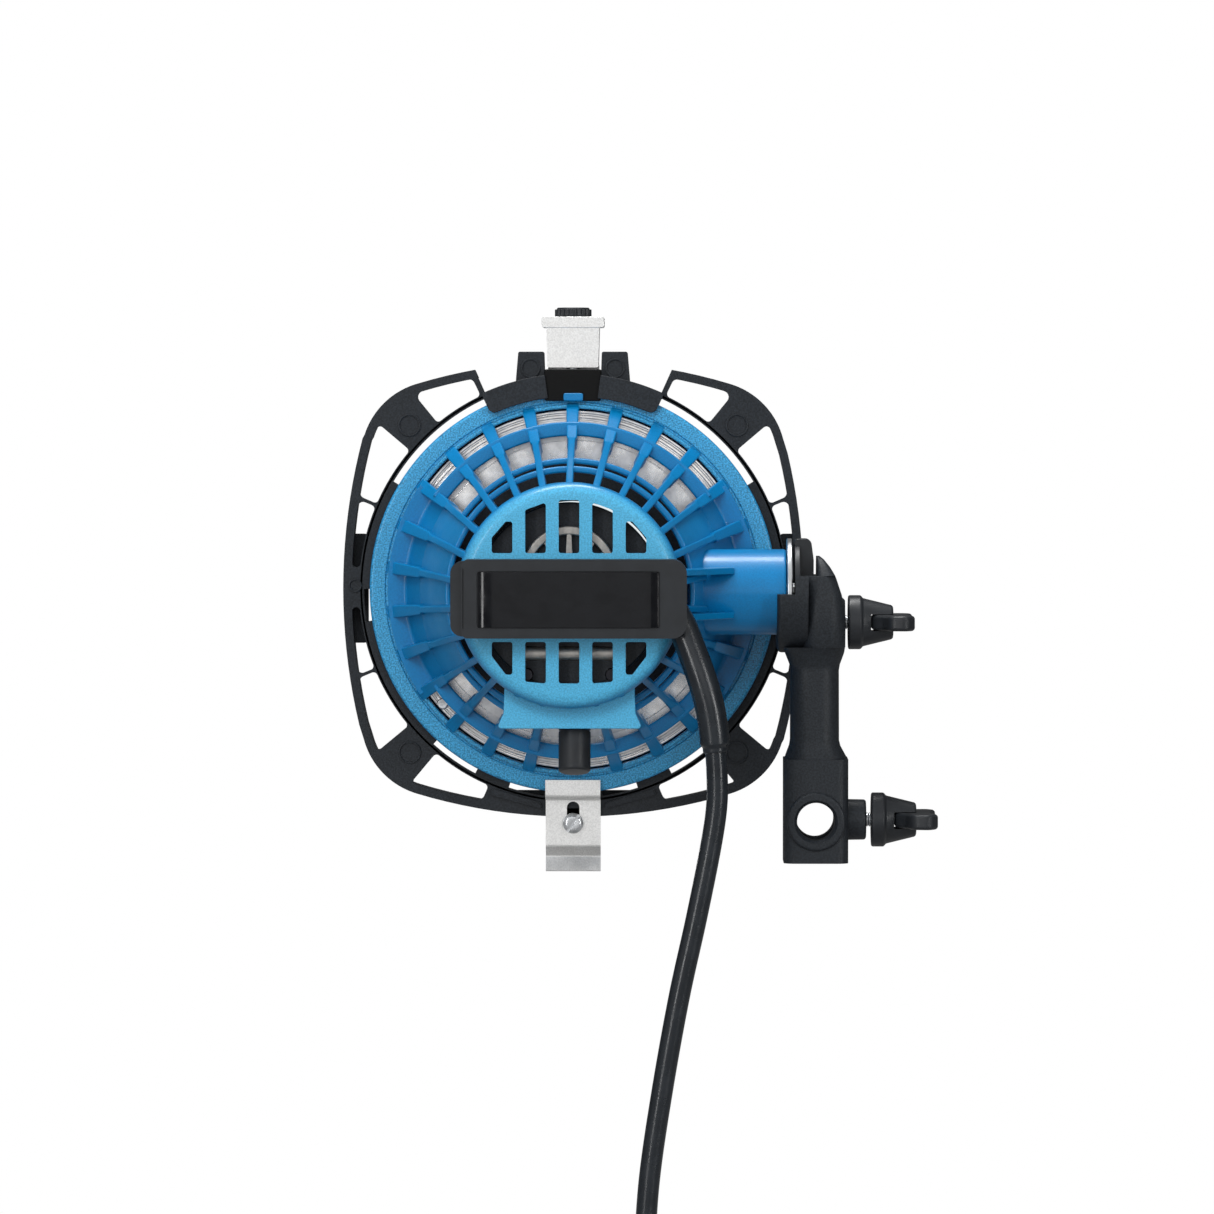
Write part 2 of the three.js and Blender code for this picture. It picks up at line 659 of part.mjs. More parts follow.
// The knob leans back from the vertical, and it turns on the stem to lock the carriage.
function focusKnob() {
  const { radius, length, tilt } = KNOB;
  const [bore, boreDepth, edge] = [4.2, 5, 0.6];
  const outside = [[0, -length], [radius - edge, -length], [radius, edge - length], [radius, 0]];
  const inside = [[bore, 0], [bore, -boreDepth], [0, -boreDepth]];
  const knob = lathe([...outside, ...inside], 24);
  knob.rotateX(Math.PI / 2).rotateX(-THREE.MathUtils.degToRad(tilt));
  return solidOf(knob.translate(KNOB.x, KNOB.y, KNOB.z));
}

place(head, "guide_rod_left", guideRod(-1), "steel");
place(head, "guide_rod_right", guideRod(1), "steel");
place(head, "lamp_carriage", lampCarriage(), "blackPaint");
place(head, "socket_heat_sink", socketHeatSink(), "castAluminium");
place(head, "reflector", reflector(), "mirror");
place(head, "lamp_socket", lampSocket(), "ceramic");
place(head, "halogen_lamp", halogenLamp(), "glass");
place(head, "focus_stem", focusStem(), "steel");
place(head, "focus_knob", focusKnob(), "blackPlastic");

// ---- Top latch ----------------------------------------------------------------------------------

// A sheet box whose floor slides on the pin and whose front wall closes the accessory slot.
function latchBracket() {
  const { halfWidth, bottom, top, rear, front, wall } = LATCH;
  const body = block([-halfWidth, halfWidth], [rear, front], [bottom, top]);
  const inside = halfWidth - wall;
  const hollow = block([-inside, inside], [rear + wall, front - wall], [bottom + wall, top - wall]);
  const access = block([1 - inside, inside - 1], [front - wall - 1, front + 1], [104, 112]);
  const tongue = block([-halfWidth, halfWidth], [front - wall, front], [90, bottom + 1]);
  const pinHole = turnedZ(rod(3.2, bottom - 1, bottom + wall + 1), 16, 0, LATCH.y);
  return cut(join(body, tongue), hollow, access, pinHole);
}

function latchCap() {
  const { halfWidth, top, rear, front } = LATCH;
  const reach = halfWidth + 2;
  const plate = block([-reach, reach], [rear, front], [top + CLEARANCE, top + 2.1]);
  const tabs = [-1, 1].map((hand) => {
    const across = [hand * (reach - 1.4), hand * reach].sort((a, b) => a - b);
    return block(across, [rear, front], [top - 2.2, top + 1]);
  });
  return join(plate, ...tabs);
}

function latchKnob() {
  const base = LATCH.top + 2.4;
  const ridges = 20;
  const points = Array.from({ length: ridges * 2 }, (_, i) => {
    const angle = (i / ridges) * Math.PI;
    const radius = i % 2 ? 8.1 : 7.5;
    return [radius * Math.cos(angle), radius * Math.sin(angle)];
  });
  const knurl = new THREE.ExtrudeGeometry(outlineOf(points), { depth: 4.2, bevelEnabled: false });
  return solidOf(knurl.translate(0, LATCH.y, base));
}

function latchPin() {
  const { top, wall, y } = LATCH;
  const head = top - wall - 1;
  const profile = [[0, 89], [2.9, 89], [2.9, head - 2], [5.4, head - 2], [5.4, head], [0, head]];
  return turnedZ(profile, 16, 0, y);
}

// A coil spring between the bracket's floor and the pin's head.
function latchSpring() {
  const { bottom, top, wall, y } = LATCH;
  const [low, high] = [bottom + wall + 0.9, top - wall - 3.9];
  const turns = 4;
  const perTurn = 9;
  const points = Array.from({ length: turns * perTurn + 1 }, (_, i) => {
    const angle = (i / perTurn) * 2 * Math.PI;
    const height = low + ((high - low) * i) / (turns * perTurn);
    return [4.2 * Math.cos(angle), y + 4.2 * Math.sin(angle), height];
  });
  return barAlong(points, 0.5, turns * perTurn, 5);
}

place(head, "latch_bracket", latchBracket(), "silverSheet");
place(head, "latch_cap", latchCap(), "silverSheet");
place(head, "latch_knob", latchKnob(), "blackPlastic");
place(head, "latch_pin", latchPin(), "steel");
place(head, "latch_spring", latchSpring(), "steel");

// ---- Bottom clip --------------------------------------------------------------------------------

// A bent sheet: the hook over the blue ring, the flat plate with its slot, and the forward lip.
function bottomClip() {
  const { halfWidth, rear, wall, top, bottom, lip } = CLIP;
  const { rear: hook, top: hookTop } = CLIP_HOOK;
  const front = rear + wall;
  const side = outlineOf([
    [hook, hookTop],
    [hook, top - wall],
    [rear, top - wall],
    [rear, bottom],
    [rear + 3, lip],
    [rear + 3 + wall, lip],
    [front, bottom],
    [front, top],
    [hook + wall, top],
    [hook + wall, hookTop],
  ]);
  const slot = roundedRectangle(-2.75, 2.75, -107, -93, 2.7);
  return cut(plateYZ(side, -halfWidth, halfWidth), plateXZ(slot, rear - 1, front + 1, 4));
}

function clipScrew() {
  const { head: headRadius, shank, z } = CLIP_SCREW;
  const base = CLIP.rear - CLEARANCE;
  const profile = [[0, base - 2.3], [3.6, base - 2.3], [headRadius, base - 1.4], [headRadius, base]];
  profile.push([shank, base], [shank, FRAME.plate], [0, FRAME.plate]);
  const slot = new THREE.BoxGeometry(12, 1.1, 1.1).rotateY(-THREE.MathUtils.degToRad(55));
  return cut(turnedY(profile, 20, 0, z), solidOf(slot.translate(0, base - 2.2, z)));
}

place(head, "bottom_clip", bottomClip(), "silverSheet");
place(head, "clip_screw", clipScrew(), "steel");

// ---- Side arm -----------------------------------------------------------------------------------

// The arm's silhouette seen along the optical axis, from the brake down to the receiver.
const ARM_SILHOUETTE = [
  [ARM.face, 86],
  [0.4, 86],
  [0.4, 95.5],
  [3.6, 95.5],
  [8.4, 88],
  [12.2, 77],
  [12.2, 54],
  [9.8, 46],
  [10.3, 17],
  [14, 8],
  [14, -10],
  [13.2, -SPIGOT_SOCKET.depth],
  [-13, -SPIGOT_SOCKET.depth],
  [-13.6, 8],
  [-11.3, 17],
  [-11.3, 46],
  [ARM.cupLeft + 1.5, 54],
  [ARM.face, 56],
];

// The lower half of a cup that reaches round the brake disc and behind it.
function brakeCup() {
  const outer = turnedX(rod(ARM.cupRadius, ARM.cupLeft, ARM.face + 1), 36, 0, HEAD.z);
  return outer.intersect(block([-30, 10], [-40, 40], [40, HEAD.z - 2]));
}

// Room inside the arm for the head's boss, the brake disc and the clamp shoe.
function brakeRoom() {
  const disc = turnedX(rod(DISC.radius + 0.9, DISC.x - 0.9, ARM.face), 36, 0, HEAD.z);
  const boss = turnedX(rod(BOSS.radius + 0.8, -40, DISC.x), 36, 0, HEAD.z);
  return join(disc, boss);
}

function receiverBlock() {
  const half = ARM.blockHalfDepth;
  const bottom = -SPIGOT_SOCKET.depth;
  const shape = outlineOf([[-13.4, 8], [14, 8], [14, -10], [13.2, bottom], [-13, bottom]]);
  const lockBoss = turnedX(rod(8.65, 10, 21.8), 28, 0, LOCK_SCREW.z);
  const collar = turnedY(rod(12.6, -half - 1.6, half + 1.6), 32, 0, SPIGOT_SOCKET.crossZ);
  return join(plateXZ(shape, -half, half), lockBoss, collar);
}

function spigotSockets() {
  const { radius, depth, crossZ } = SPIGOT_SOCKET;
  const upright = turnedZ(rod(radius, -depth - 1, 0), 24);
  const mouth = radius + 1.1;
  const end = ARM.blockHalfDepth + 3;
  const [mouthEnd, throat] = [end - 3.4, end - 4.8];
  const near = [[0, -end], [mouth, -end], [mouth, -mouthEnd], [radius, -throat]];
  const far = [[radius, throat], [mouth, mouthEnd], [mouth, end], [0, end]];
  return join(upright, turnedY([...near, ...far], 32, 0, crossZ));
}

function sideArm() {
  const screwBoss = turnedX(rod(12.5, 0, 12.6), 28, 0, TILT_SCREW.z);
  const blade = plateXZ(outlineOf(ARM_SILHOUETTE), -ARM.halfDepth, ARM.halfDepth);
  const body = join(blade, brakeCup(), receiverBlock(), screwBoss);
  const boltHole = turnedX(rod(BOLT.radius + CLEARANCE, -10, 4), 20, 0, HEAD.z);
  const boltRecess = turnedX(rod(BOLT.head + 0.6, 2, 20), 20, 0, HEAD.z);
  const tiltHole = turnedX(rod(SCREW.hole, -10, 20), 16, 0, TILT_SCREW.z);
  const lockHole = turnedX(rod(SCREW.hole, 0, 30), 16, 0, LOCK_SCREW.z);
  return cut(body, brakeRoom(), spigotSockets(), boltHole, boltRecess, tiltHole, lockHole);
}

function pivotBolt() {
  const { radius, head: headRadius } = BOLT;
  const [end, seat, top] = [-24, 2.4, 7.4];
  const shank = [[0, end], [radius, end], [radius, seat]];
  const cap = [[headRadius, seat], [headRadius, top], [0, top]];
  const socket = turnedX(rod(2.9, seat + 2, top + 1), 6, 0, HEAD.z);
  return cut(turnedX([...shank, ...cap], 20, 0, HEAD.z), socket);
}

// The black shoe that the tilt screw presses on the brake disc, with its ear above the arm's shoulder.
function clampShoe() {
  const { x, thickness, radius } = SHOE;
  const pad = turnedX(rod(radius, x, x + thickness), 32, 0, HEAD.z);
  const ear = block([x, -0.9], [-8, 8], [86.6, 102.2]);
  const boltHole = turnedX(rod(BOLT.radius + 0.8, -20, 10), 16, 0, HEAD.z);
  return cut(join(pad, ear), boltHole);
}

place(lamp, "side_arm", sideArm(), "blackPaint");
place(lamp, "pivot_bolt", pivotBolt(), "steel");
place(lamp, "clamp_shoe", clampShoe(), "blackPlastic");

// ---- T-handles ----------------------------------------------------------------------------------

function handleHub(start, z) {
  const { radius, collar, length, tip, bar } = HANDLE;
  const end = start + length;
  const flange = [[0, start], [radius - 1, start], [radius, start + 1], [radius, start + collar]];
  const cone = [[tip, end], [0, end]];
  const half = bar / 2 + CLEARANCE;
  const slot = block([start + 10 - CLEARANCE, end + 1], [-30, 30], [z - half, z + half]);
  const screwHole = turnedX(rod(SCREW.radius + CLEARANCE, start - 1, start + 9), 14, 0, z);
  return cut(turnedX([...flange, ...cone], 32, 0, z), slot, screwHole);
}

// The flat cross bar, widening to two rounded wings.
function handleBar(start, z) {
  const { bar, reach, halfSpan } = HANDLE;
  const shape = new THREE.Shape();
  const inner = start + 10;
  const outer = start + reach;
  shape.moveTo(inner, -7);
  shape.lineTo(outer - 12, -halfSpan);
  shape.absarc(outer - 5, -halfSpan + 4, 5, -Math.PI * 0.6, 0, false);
  shape.absarc(outer - 5, halfSpan - 4, 5, 0, Math.PI * 0.6, false);
  shape.lineTo(outer - 12, halfSpan);
  shape.lineTo(inner, 7);
  const extrusion = { depth: bar, bevelEnabled: false, curveSegments: 5 };
  return solidOf(new THREE.ExtrudeGeometry(shape, extrusion).translate(0, 0, z - bar / 2));
}

function handleScrew(tip, start, z) {
  return turnedX(rod(SCREW.radius, tip, start + 8.6), 14, 0, z);
}

function addHandle(name, tip, start, z) {
  place(lamp, `${name}_handle_hub`, handleHub(start, z), "blackPlastic");
  place(lamp, `${name}_handle_bar`, handleBar(start, z), "blackPlastic");
  place(lamp, `${name}_screw`, handleScrew(tip, start, z), "steel");
}

addHandle("tilt", SHOE.x + SHOE.thickness + CLEARANCE, TILT_SCREW.hub, TILT_SCREW.z);
addHandle("lock", LOCK_TIP.end + CLEARANCE, LOCK_SCREW.hub, LOCK_SCREW.z);
// The plain end of the lock screw, which bears on the spigot without marking it.
const lockTip = turnedX(rod(LOCK_TIP.radius, LOCK_TIP.start, LOCK_TIP.end), 14, 0, LOCK_SCREW.z);
place(lamp, "lock_screw_tip", lockTip, "brass");

export default lamp;
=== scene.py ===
"""Looks of a small fresnel spotlight on its side arm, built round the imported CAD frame.

Pieces are drawn in millimetres. Head pieces count from the point where the lamp's optical axis passes
the tilt pivot, arm pieces from the spigot socket's axis. The light leaves along +Y.
"""

import math

import bmesh
import bpy
from mathutils import Matrix, Vector
from mathutils.geometry import tessellate_polygon


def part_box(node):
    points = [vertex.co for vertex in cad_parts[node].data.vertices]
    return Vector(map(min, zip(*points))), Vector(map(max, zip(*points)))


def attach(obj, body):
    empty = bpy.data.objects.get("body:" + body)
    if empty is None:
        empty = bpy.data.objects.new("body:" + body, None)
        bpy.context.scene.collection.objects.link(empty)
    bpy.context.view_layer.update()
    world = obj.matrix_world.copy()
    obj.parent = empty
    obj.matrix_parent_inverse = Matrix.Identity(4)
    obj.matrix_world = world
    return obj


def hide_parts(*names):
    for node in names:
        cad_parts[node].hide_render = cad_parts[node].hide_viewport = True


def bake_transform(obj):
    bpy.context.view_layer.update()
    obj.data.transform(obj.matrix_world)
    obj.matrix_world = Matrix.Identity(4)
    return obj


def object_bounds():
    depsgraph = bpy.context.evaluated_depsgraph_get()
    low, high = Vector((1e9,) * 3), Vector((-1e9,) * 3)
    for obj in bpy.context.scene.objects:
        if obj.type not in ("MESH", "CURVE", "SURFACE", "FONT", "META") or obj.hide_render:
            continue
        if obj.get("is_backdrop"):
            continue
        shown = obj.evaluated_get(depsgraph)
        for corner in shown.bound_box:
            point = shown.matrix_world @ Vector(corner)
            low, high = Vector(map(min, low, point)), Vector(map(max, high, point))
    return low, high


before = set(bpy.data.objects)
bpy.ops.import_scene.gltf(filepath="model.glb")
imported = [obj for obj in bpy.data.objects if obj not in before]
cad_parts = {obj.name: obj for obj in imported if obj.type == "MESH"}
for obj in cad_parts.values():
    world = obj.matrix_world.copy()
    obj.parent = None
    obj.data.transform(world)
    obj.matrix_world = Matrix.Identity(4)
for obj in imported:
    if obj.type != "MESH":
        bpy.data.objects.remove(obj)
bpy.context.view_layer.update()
MM = 0.001


# ---- Places, from the CAD nodes -----------------------------------------------------------------


def middle_of(node):
    """Centre of a CAD node's box."""
    low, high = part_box(node)
    return (low + high) / 2


LENS_MIDDLE = middle_of("lens")
HEAD = Vector((LENS_MIDDLE.x, 0, LENS_MIDDLE.z))
ARM = Vector((0, 0, 0))


def span_mm(node, axis, origin):
    """Low and high limit of a CAD node on one axis, in millimetres from an origin."""
    low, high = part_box(node)
    return (low[axis] - origin[axis]) / MM, (high[axis] - origin[axis]) / MM


HUB_FACE = span_mm("rear_housing", 1, HEAD)[0]
BOSS_END = span_mm("rear_housing", 0, HEAD)[1]
FRAME_FRONT = span_mm("front_frame", 1, HEAD)[1]

# ---- Driving dimensions of the visible surfaces, in millimetres ---------------------------------

HUB = {"radius": 47.8, "flat": 41.9, "front": -44, "wall": 3.2}
SLOT = {"width": 8.7, "pitch": 14.1, "reach": 40.6, "corner": 1.0, "notch": 2.8}
SLOT_TOP = {"near": 18, "far": 40.4, "outer_far": 31.3, "shoulder": 24.5}
SLOT_BOTTOM = {"near": -19.4, "far": -36.9, "outer_far": -33.2, "shoulder": -25.5}
RIBS = {"count": 26, "bevel": 0.7}
RING = {"outer": 88.7, "inner": 78.8, "rear": 36, "front": 44.4, "groove": 81.2}
CLOSED_BAYS = [(145.4, 214.6), (-34.6, 34.6)]
KNOB_BAY = (256.2, 283.8)
BOSS = {"radius": 18.4, "start": 50, "bore": 6.8}
BOSS_WEBS = (-9.5, 9.5)
FRAME = {"rear": 46, "plate": 51, "rim": 3.7, "ring": 91.7, "ring_wall": 2, "seat": 86}
OUTLINE = {
    "half": 100.7, "height": 99.8, "side": 258, "end": 238, "corner": (58.9, 57.1), "corner_radius": 34,
}
WEBS = [(40.3, 50.7), (22.6, 23.4), (-4.8, 5.7), (-22.6, -21.8), (-50.1, -39.7)]
TOP_GAP = 65.8
BOTTOM_WEB = -66.7
CORNER_CLEAR = 1.7
DAYLIGHT = [(30.8, 65.3), (-9, 0), (-62, -48), (-82, -72)]
BROW = {"inner": 84.1, "outer": 94.2, "rear": 32, "lip": 35.6, "stop": 82.6}
EAR_REAR = 37.6
LENS_RADIUS = 40
FRESNEL_RINGS = 12
SHIELD_ZONE = 57
SHIELD_SCREW = {"x": 57, "z": -50}
COVER = {"step": 4.5, "cap": 0.8, "recess": 1.2}
LABEL_BEND = 1.4
CABLE_RADIUS = 4.5
BOOT = {"radius": 6.3, "swell": 0.35, "neck": 1.0}
CONNECTOR = {"x": 32, "y": -64, "top": -292.3}
SINK = {"outer": 20.4, "inner": 16.6, "core": 6.4, "bore": 2.2, "z": 9, "spokes": 10}
CARRIAGE_RADIUS = 39.4
GUIDE = {"x": 18, "z": -33.4, "clearance_radius": 2.9}
KNOB = {"place": (2, -37.4, -54.6), "radius": 6.8, "length": 21.5, "tilt": 16}
LATCH = {"base": 96.8, "wall": 1.5, "taper": 0.5, "y": 48}
LATCH_KNOB = {"radius": 7.75, "ridge": 0.3, "ridges": 22}
CLIP = {"wall": 1.5, "face": 44, "shelf": -90.95, "bend": -112.4, "heel": -116.8}
CLIP_SCREW = {"z": -102.4, "turn": 55}

# The arm, from the spigot socket's axis.
PIVOT_Z = 80
TILT_Z = 67
LOCK_Z = -18
SOCKET_RADIUS = 8.1
ARM_FACE = -5.4
SCREW_HOLE = 3.3
DISC = {"radius": 23, "bore": 4.6, "screw_circle": 12.5, "screw_hole": 1.9, "screws": (90, 210, 330)}
SHOE = {"radius": 21.5, "bore": 4.8, "thickness": 2.4}
CUP = {"inner": 6, "outer": 26, "room": 23.9, "left": -16.8, "right": -3.4, "floor": -5.3}
HANDLE = {"collar": 11.65, "cone_end": 7.2, "length": 19.4, "bar_start": 10, "bar_end": 28.5, "bar_half": 3.3}
THREAD = {"radius": 3.0, "pitch": 1.0, "depth": 0.55, "point": 0.7}


# ---- Mesh building ------------------------------------------------------------------------------


NEARLY_STRAIGHT = 1.55


def rounded(corners, steps=5):
    """Points of a closed outline whose corners (x, y, radius) are rounded with short arcs."""
    points = []
    count = len(corners)
    for i, (x, y, radius) in enumerate(corners):
        here = Vector((x, y))
        before = Vector(corners[i - 1][:2]) - here
        after = Vector(corners[(i + 1) % count][:2]) - here
        if radius <= 0 or before.angle(after) / 2 > NEARLY_STRAIGHT:
            points.append((x, y))
            continue
        half_turn = before.angle(after) / 2
        setback = min(radius / math.tan(half_turn), 0.49 * before.length, 0.49 * after.length)
        actual = setback * math.tan(half_turn)
        bisector = (before.normalized() + after.normalized()).normalized()
        centre = here + bisector * (actual / math.sin(half_turn))
        start = here + before.normalized() * setback - centre
        end = here + after.normalized() * setback - centre
        swing = start.angle_signed(end)
        for k in range(steps + 1):
            turned = start.copy()
            turned.rotate(Matrix.Rotation(-swing * k / steps, 2))
            points.append(tuple(centre + turned))
    return points


def evenly(corners, radius):
    """Corner triples that all share one radius."""
    return [(x, y, radius) for x, y in corners]


def arc(x, y, radius, start, end, steps=24):
    """Points on a circle between two angles in degrees."""
    angles = [math.radians(start + (end - start) * i / steps) for i in range(steps + 1)]
    return [(x + radius * math.cos(a), y + radius * math.sin(a)) for a in angles]


def rectangle(x0, x1, y0, y1, radius=0.0, steps=5):
    """A rectangle with rounded corners."""
    return rounded([(x0, y0, radius), (x1, y0, radius), (x1, y1, radius), (x0, y1, radius)], steps)


def along(axis, u, v, t):
    """A point from two outline coordinates and a station along the given axis."""
    if axis == "X":
        return (t, u, v)
    if axis == "Y":
        return (u, t, v)
    return (u, v, t)


def revolve(profile, axis="Y", centre=(0, 0), start=0.0, end=360.0, steps=128):
    """Turns a closed profile of (radius, station) about an axis through the centre."""
    full = abs(end - start - 360) < 1e-6
    rings = steps if full else steps + 1
    points = []
    for i in range(rings):
        angle = math.radians(start + (end - start) * i / steps)
        for radius, station in profile:
            u = centre[0] + radius * math.cos(angle)
            v = centre[1] + radius * math.sin(angle)
            points.append(along(axis, u, v, station))
    size = len(profile)
    faces = []
    for i in range(steps):
        near, far = i * size, ((i + 1) % rings) * size
        for j in range(size):
            k = (j + 1) % size
            faces.append((near + j, near + k, far + k, far + j))
    if not full:
        faces.append(tuple(range(size)))
        faces.append(tuple(range(steps * size, (steps + 1) * size)))
    return points, faces


def cylinder(radius, low, high, axis="Y", centre=(0, 0), steps=40):
    """A plain round bar, or the cutter for a round hole, between two stations along an axis."""
    return revolve([(0, low), (radius, low), (radius, high), (0, high)], axis, centre, steps=steps)


def prism(outline, low, high, axis="Y", holes=()):
    """Gives a flat outline, with any holes, thickness between two stations along an axis."""
    loops = [outline, *holes]
    flat = [point for loop in loops for point in loop]
    points = [along(axis, u, v, low) for u, v in flat] + [along(axis, u, v, high) for u, v in flat]
    total = len(flat)
    faces = []
    if holes:
        for a, b, c in tessellate_polygon([[Vector((u, v, 0)) for u, v in loop] for loop in loops]):
            faces += [(a, b, c), (a + total, b + total, c + total)]
    else:
        faces += [tuple(range(total)), tuple(range(total, 2 * total))]
    first = 0
    for loop in loops:
        count = len(loop)
        for i in range(count):
            a, b = first + i, first + (i + 1) % count
            faces.append((a, b, b + total, a + total))
        first += count
    return points, faces


def loft(sections):
    """Skins a row of closed sections that all have the same number of points."""
    size = len(sections[0])
    points = [point for section in sections for point in section]
    faces = [tuple(range(size)), tuple(range((len(sections) - 1) * size, len(sections) * size))]
    for i in range(len(sections) - 1):
        for j in range(size):
            k = (j + 1) % size
            faces.append((i * size + j, i * size + k, (i + 1) * size + k, (i + 1) * size + j))
    return points, faces


def smooth_path(points, per_span=10):
    """A Catmull-Rom curve through the given points."""
    vectors = [Vector(p) for p in points]
    padded = [2 * vectors[0] - vectors[1], *vectors, 2 * vectors[-1] - vectors[-2]]
    path = []
    for p0, p1, p2, p3 in zip(padded, padded[1:], padded[2:], padded[3:]):
        for i in range(per_span):
            t = i / per_span
            a = 2 * p1
            b = (p2 - p0) * t
            c = (2 * p0 - 5 * p1 + 4 * p2 - p3) * t * t
            d = (3 * p1 - p0 - 3 * p2 + p3) * t * t * t
            path.append((a + b + c + d) / 2)
    path.append(vectors[-1])
    return path


def sweep(path, radii, sides=32):
    """A round bar along a path, with one radius for each path point."""
    sections = []
    side = Vector((0, 1, 0))
    for i, point in enumerate(path):
        forward = (path[min(i + 1, len(path) - 1)] - path[max(i - 1, 0)]).normalized()
        side = (side - forward * side.dot(forward)).normalized()
        other = forward.cross(side)
        turns = [2 * math.pi * k / sides for k in range(sides)]
        ring = [point + (side * math.cos(t) + other * math.sin(t)) * radii[i] for t in turns]
        sections.append([tuple(p) for p in ring])
    return loft(sections)


def mirrored(shape):
    """The same solid on the other side of X = 0."""
    points, faces = shape
    return [(-x, y, z) for x, y, z in points], faces


def moved(shape, matrix):
    """The same solid, placed by a matrix."""
    points, faces = shape
    return [tuple(matrix @ Vector(p)) for p in points], faces


def mesh_of(name, shapes, origin):
    """One mesh object, in metres, from solids in millimetres."""
    built = bmesh.new()
    for points, faces in shapes:
        corners = [built.verts.new(origin + Vector(p) * MM) for p in points]
        for face in faces:
            built.faces.new([corners[i] for i in face])
    bmesh.ops.remove_doubles(built, verts=built.verts, dist=1e-7)
    bmesh.ops.recalc_face_normals(built, faces=built.faces)
    mesh = bpy.data.meshes.new(name)
    built.to_mesh(mesh)
    built.free()
    piece = bpy.data.objects.new(name, mesh)
    bpy.context.scene.collection.objects.link(piece)
    return piece


def bake(piece):
    """Applies a piece's modifiers."""
    graph = bpy.context.evaluated_depsgraph_get()
    mesh = bpy.data.meshes.new_from_object(piece.evaluated_get(graph))
    piece.modifiers.clear()
    piece.data = mesh


def combine(piece, shapes, origin, operation):
    """Cuts solids out of a piece, or joins them to it, in one exact boolean."""
    tool = mesh_of("tool", shapes, origin)
    boolean = piece.modifiers.new(operation, "BOOLEAN")
    boolean.operation = operation
    boolean.solver = "EXACT"
    boolean.use_self = True
    boolean.object = tool
    bake(piece)
    bpy.data.objects.remove(tool)


def soften(piece, width, segments=3, angle=32):
    """Rounds a piece's sharp edges and shades it smooth."""
    bevel = piece.modifiers.new("soften", "BEVEL")
    bevel.width = width * MM
    bevel.segments = segments
    bevel.limit_method = "ANGLE"
    bevel.angle_limit = math.radians(angle)
    bevel.use_clamp_overlap = True
    bake(piece)
    shade_by_area(piece, angle + 6)


def shade_by_area(piece, angle):
    """Smooth shading that keeps broad flat faces flat, and edges above an angle sharp."""
    for face in piece.data.polygons:
        face.use_smooth = True
    piece.data.set_sharp_from_angle(angle=math.radians(angle))
    weighted = piece.modifiers.new("weighted", "WEIGHTED_NORMAL")
    weighted.mode = "FACE_AREA"
    weighted.weight = 100
    weighted.keep_sharp = True
    bake(piece)


def add_piece(name, shapes, look, body, stands_for=(), origin=HEAD, cuts=(), bevel=0.4, segments=3):
    """Builds one visible piece, gives it its finish and lets it ride on its CAD body."""
    material, slot = look
    join_first = len(shapes) > 1 and cuts
    piece = mesh_of(name, shapes[:1] if join_first else shapes, origin)
    if join_first:
        combine(piece, shapes[1:], origin, "UNION")
    if cuts:
        combine(piece, cuts, origin, "DIFFERENCE")
    if bevel:
        soften(piece, bevel, segments)
    else:
        shade_by_area(piece, 32)
    piece.data.materials.clear()
    piece.data.materials.append(material)
    if body:
        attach(piece, body)
    if stands_for:
        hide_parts(*stands_for)
    return piece


def box_shape(x, y, z, corner=0.0):
    """A block between limits on each axis, its upright outline corners rounded."""
    return prism(rectangle(*x, *z, corner), *y, axis="Y")


# ---- Materials ----------------------------------------------------------------------------------


def socket_value(node, name, value):
    """Sets one input of a node."""
    node.inputs[name].default_value = value


